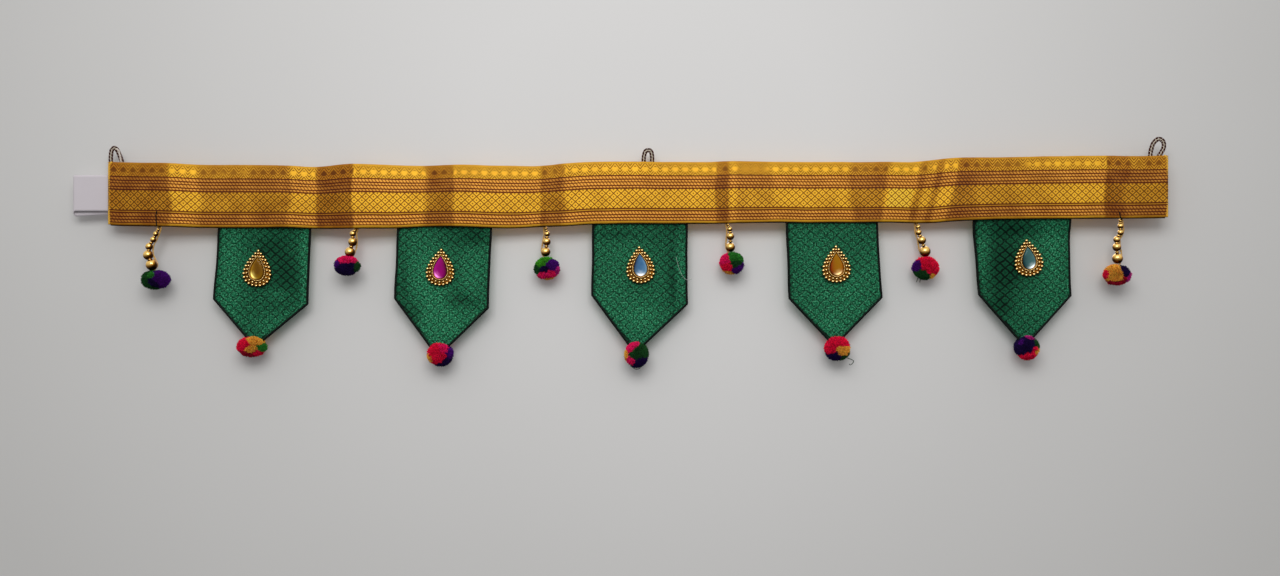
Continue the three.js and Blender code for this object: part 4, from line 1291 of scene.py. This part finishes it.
def make_lights():
    """A soft window in front and above, a weak light for the back, and a sky that darkens downwards."""
    add_light("window", (-0.06, -1.2, 0.62), (0, 0, -0.08), (1.1, 0.6), 10)
    add_light("back_fill", (0.2, 1.5, 0.6), (0, 0, -0.1), (1.2, 1.0), 8)
    world = bpy.data.worlds.new("pale_sky")
    world.use_nodes = True
    tree = world.node_tree
    direction = add(tree, "TexCoord").outputs["Generated"]
    up = add(tree, "SeparateXYZ", {0: direction}).outputs["Z"]
    height = add(tree, "MapRange", {0: up, 1: -1.0, 2: 1.0})
    sky = fill_ramp(add(tree, "ValToRGB", {0: height}),
                    [(0.0, 0.08), (0.35, 0.22), (0.5, 0.45), (0.62, 0.65), (1.0, 1.0)])
    feed(tree, tree.nodes["Background"], {"Color": sky, "Strength": 0.95})
    bpy.context.scene.world = world


def make_camera():
    """The camera at the photograph's view, square to the hanging."""
    data = bpy.data.cameras.new("photo_view")
    data.angle = VIEW_ANGLE
    camera = bpy.data.objects.new("photo_view", data)
    middle = at_pixel(PHOTO_WIDTH / 2, PHOTO_HEIGHT / 2, FACE_DEPTH)
    away = PHOTO_WIDTH * PIXEL / 2 / math.tan(VIEW_ANGLE / 2)
    camera.location = middle + FRONT * away
    camera.rotation_euler = (math.pi / 2, 0, 0)
    bpy.context.scene.collection.objects.link(camera)
    bpy.context.scene.camera = camera


# The whole hanging
make_camera()
make_stage()
make_lights()
bpy.context.scene.view_settings.view_transform = "Standard"

sections = band_sections()
zari = zari_brocade()
gold_thread = spun_thread("gold_zari_thread", GOLD_THREAD, 0.3, 0.5)
edge_gold = spun_thread("gold_edging_thread", GOLD_EDGING, 0.2, 0.5)
foot_line_thread = spun_thread("dark_foot_thread", DARK_FOOT_LINE)
band = make_band(sections, zari)
sewn_on = make_band_edging(sections, edge_gold) + [make_band_foot_line(sections, foot_line_thread)]
green = green_brocade()
binding = spun_thread("dark_binding", GREEN_BINDING, 0.0, 0.7)
for number in range(1, 6):
    make_flag(f"flag_{number}", green, binding)
setting_gold = gold_plate("gold_plated_setting", GOLD_PLATE_LIT, 0.2)
# The plate under the bead rows and the rim round the stone, painted a darker gold as the shade between them
shaded_setting_plate = gold_plate("painted_shade_setting_plate", SETTING_PLATE_SHADE, 0.4)
bead_gold = gold_plate("gold_plated_beads", BEAD_PLATE_LIT, 0.12)
for number in range(1, 6):
    stone = foiled_stone(f"foiled_stone_{number}", STONES[number - 1])
    make_drop(number, setting_gold, shaded_setting_plate, stone)
wool = clipped_wool()
for number in range(1, 7):
    make_string(number, bead_gold, gold_thread)
    px, py, size = STRINGS[number - 1][-1]
    make_pompom(f"string_{number}", wool, [(at_pixel(px, py, string_depth(number)), size / 2 * MM)])
for number in range(1, 6):
    make_pompom(f"flag_{number}", wool, [])
# A loop's strands: label, material, radius, distance from the middle and length of a turn
cord_strands = [
    ("brown", spun_thread("brown_cord", CORD_BROWN, 0.0, 0.9), 0.8 * MM, 1.15 * MM, 1000.0),
    ("gold", spun_thread("gold_cord", CORD_GOLD, 0.2, 0.5), 0.42 * MM, 0.0, 1.0),
    ("silver", spun_thread("silver_cord", CORD_SILVER, 0.1, 0.5), 0.13 * MM, 1.75 * MM, 5.5 * MM)]
for name in LOOPS:
    make_loop(name, cord_strands)
make_label(woven_ribbon())
make_sewing(sections)
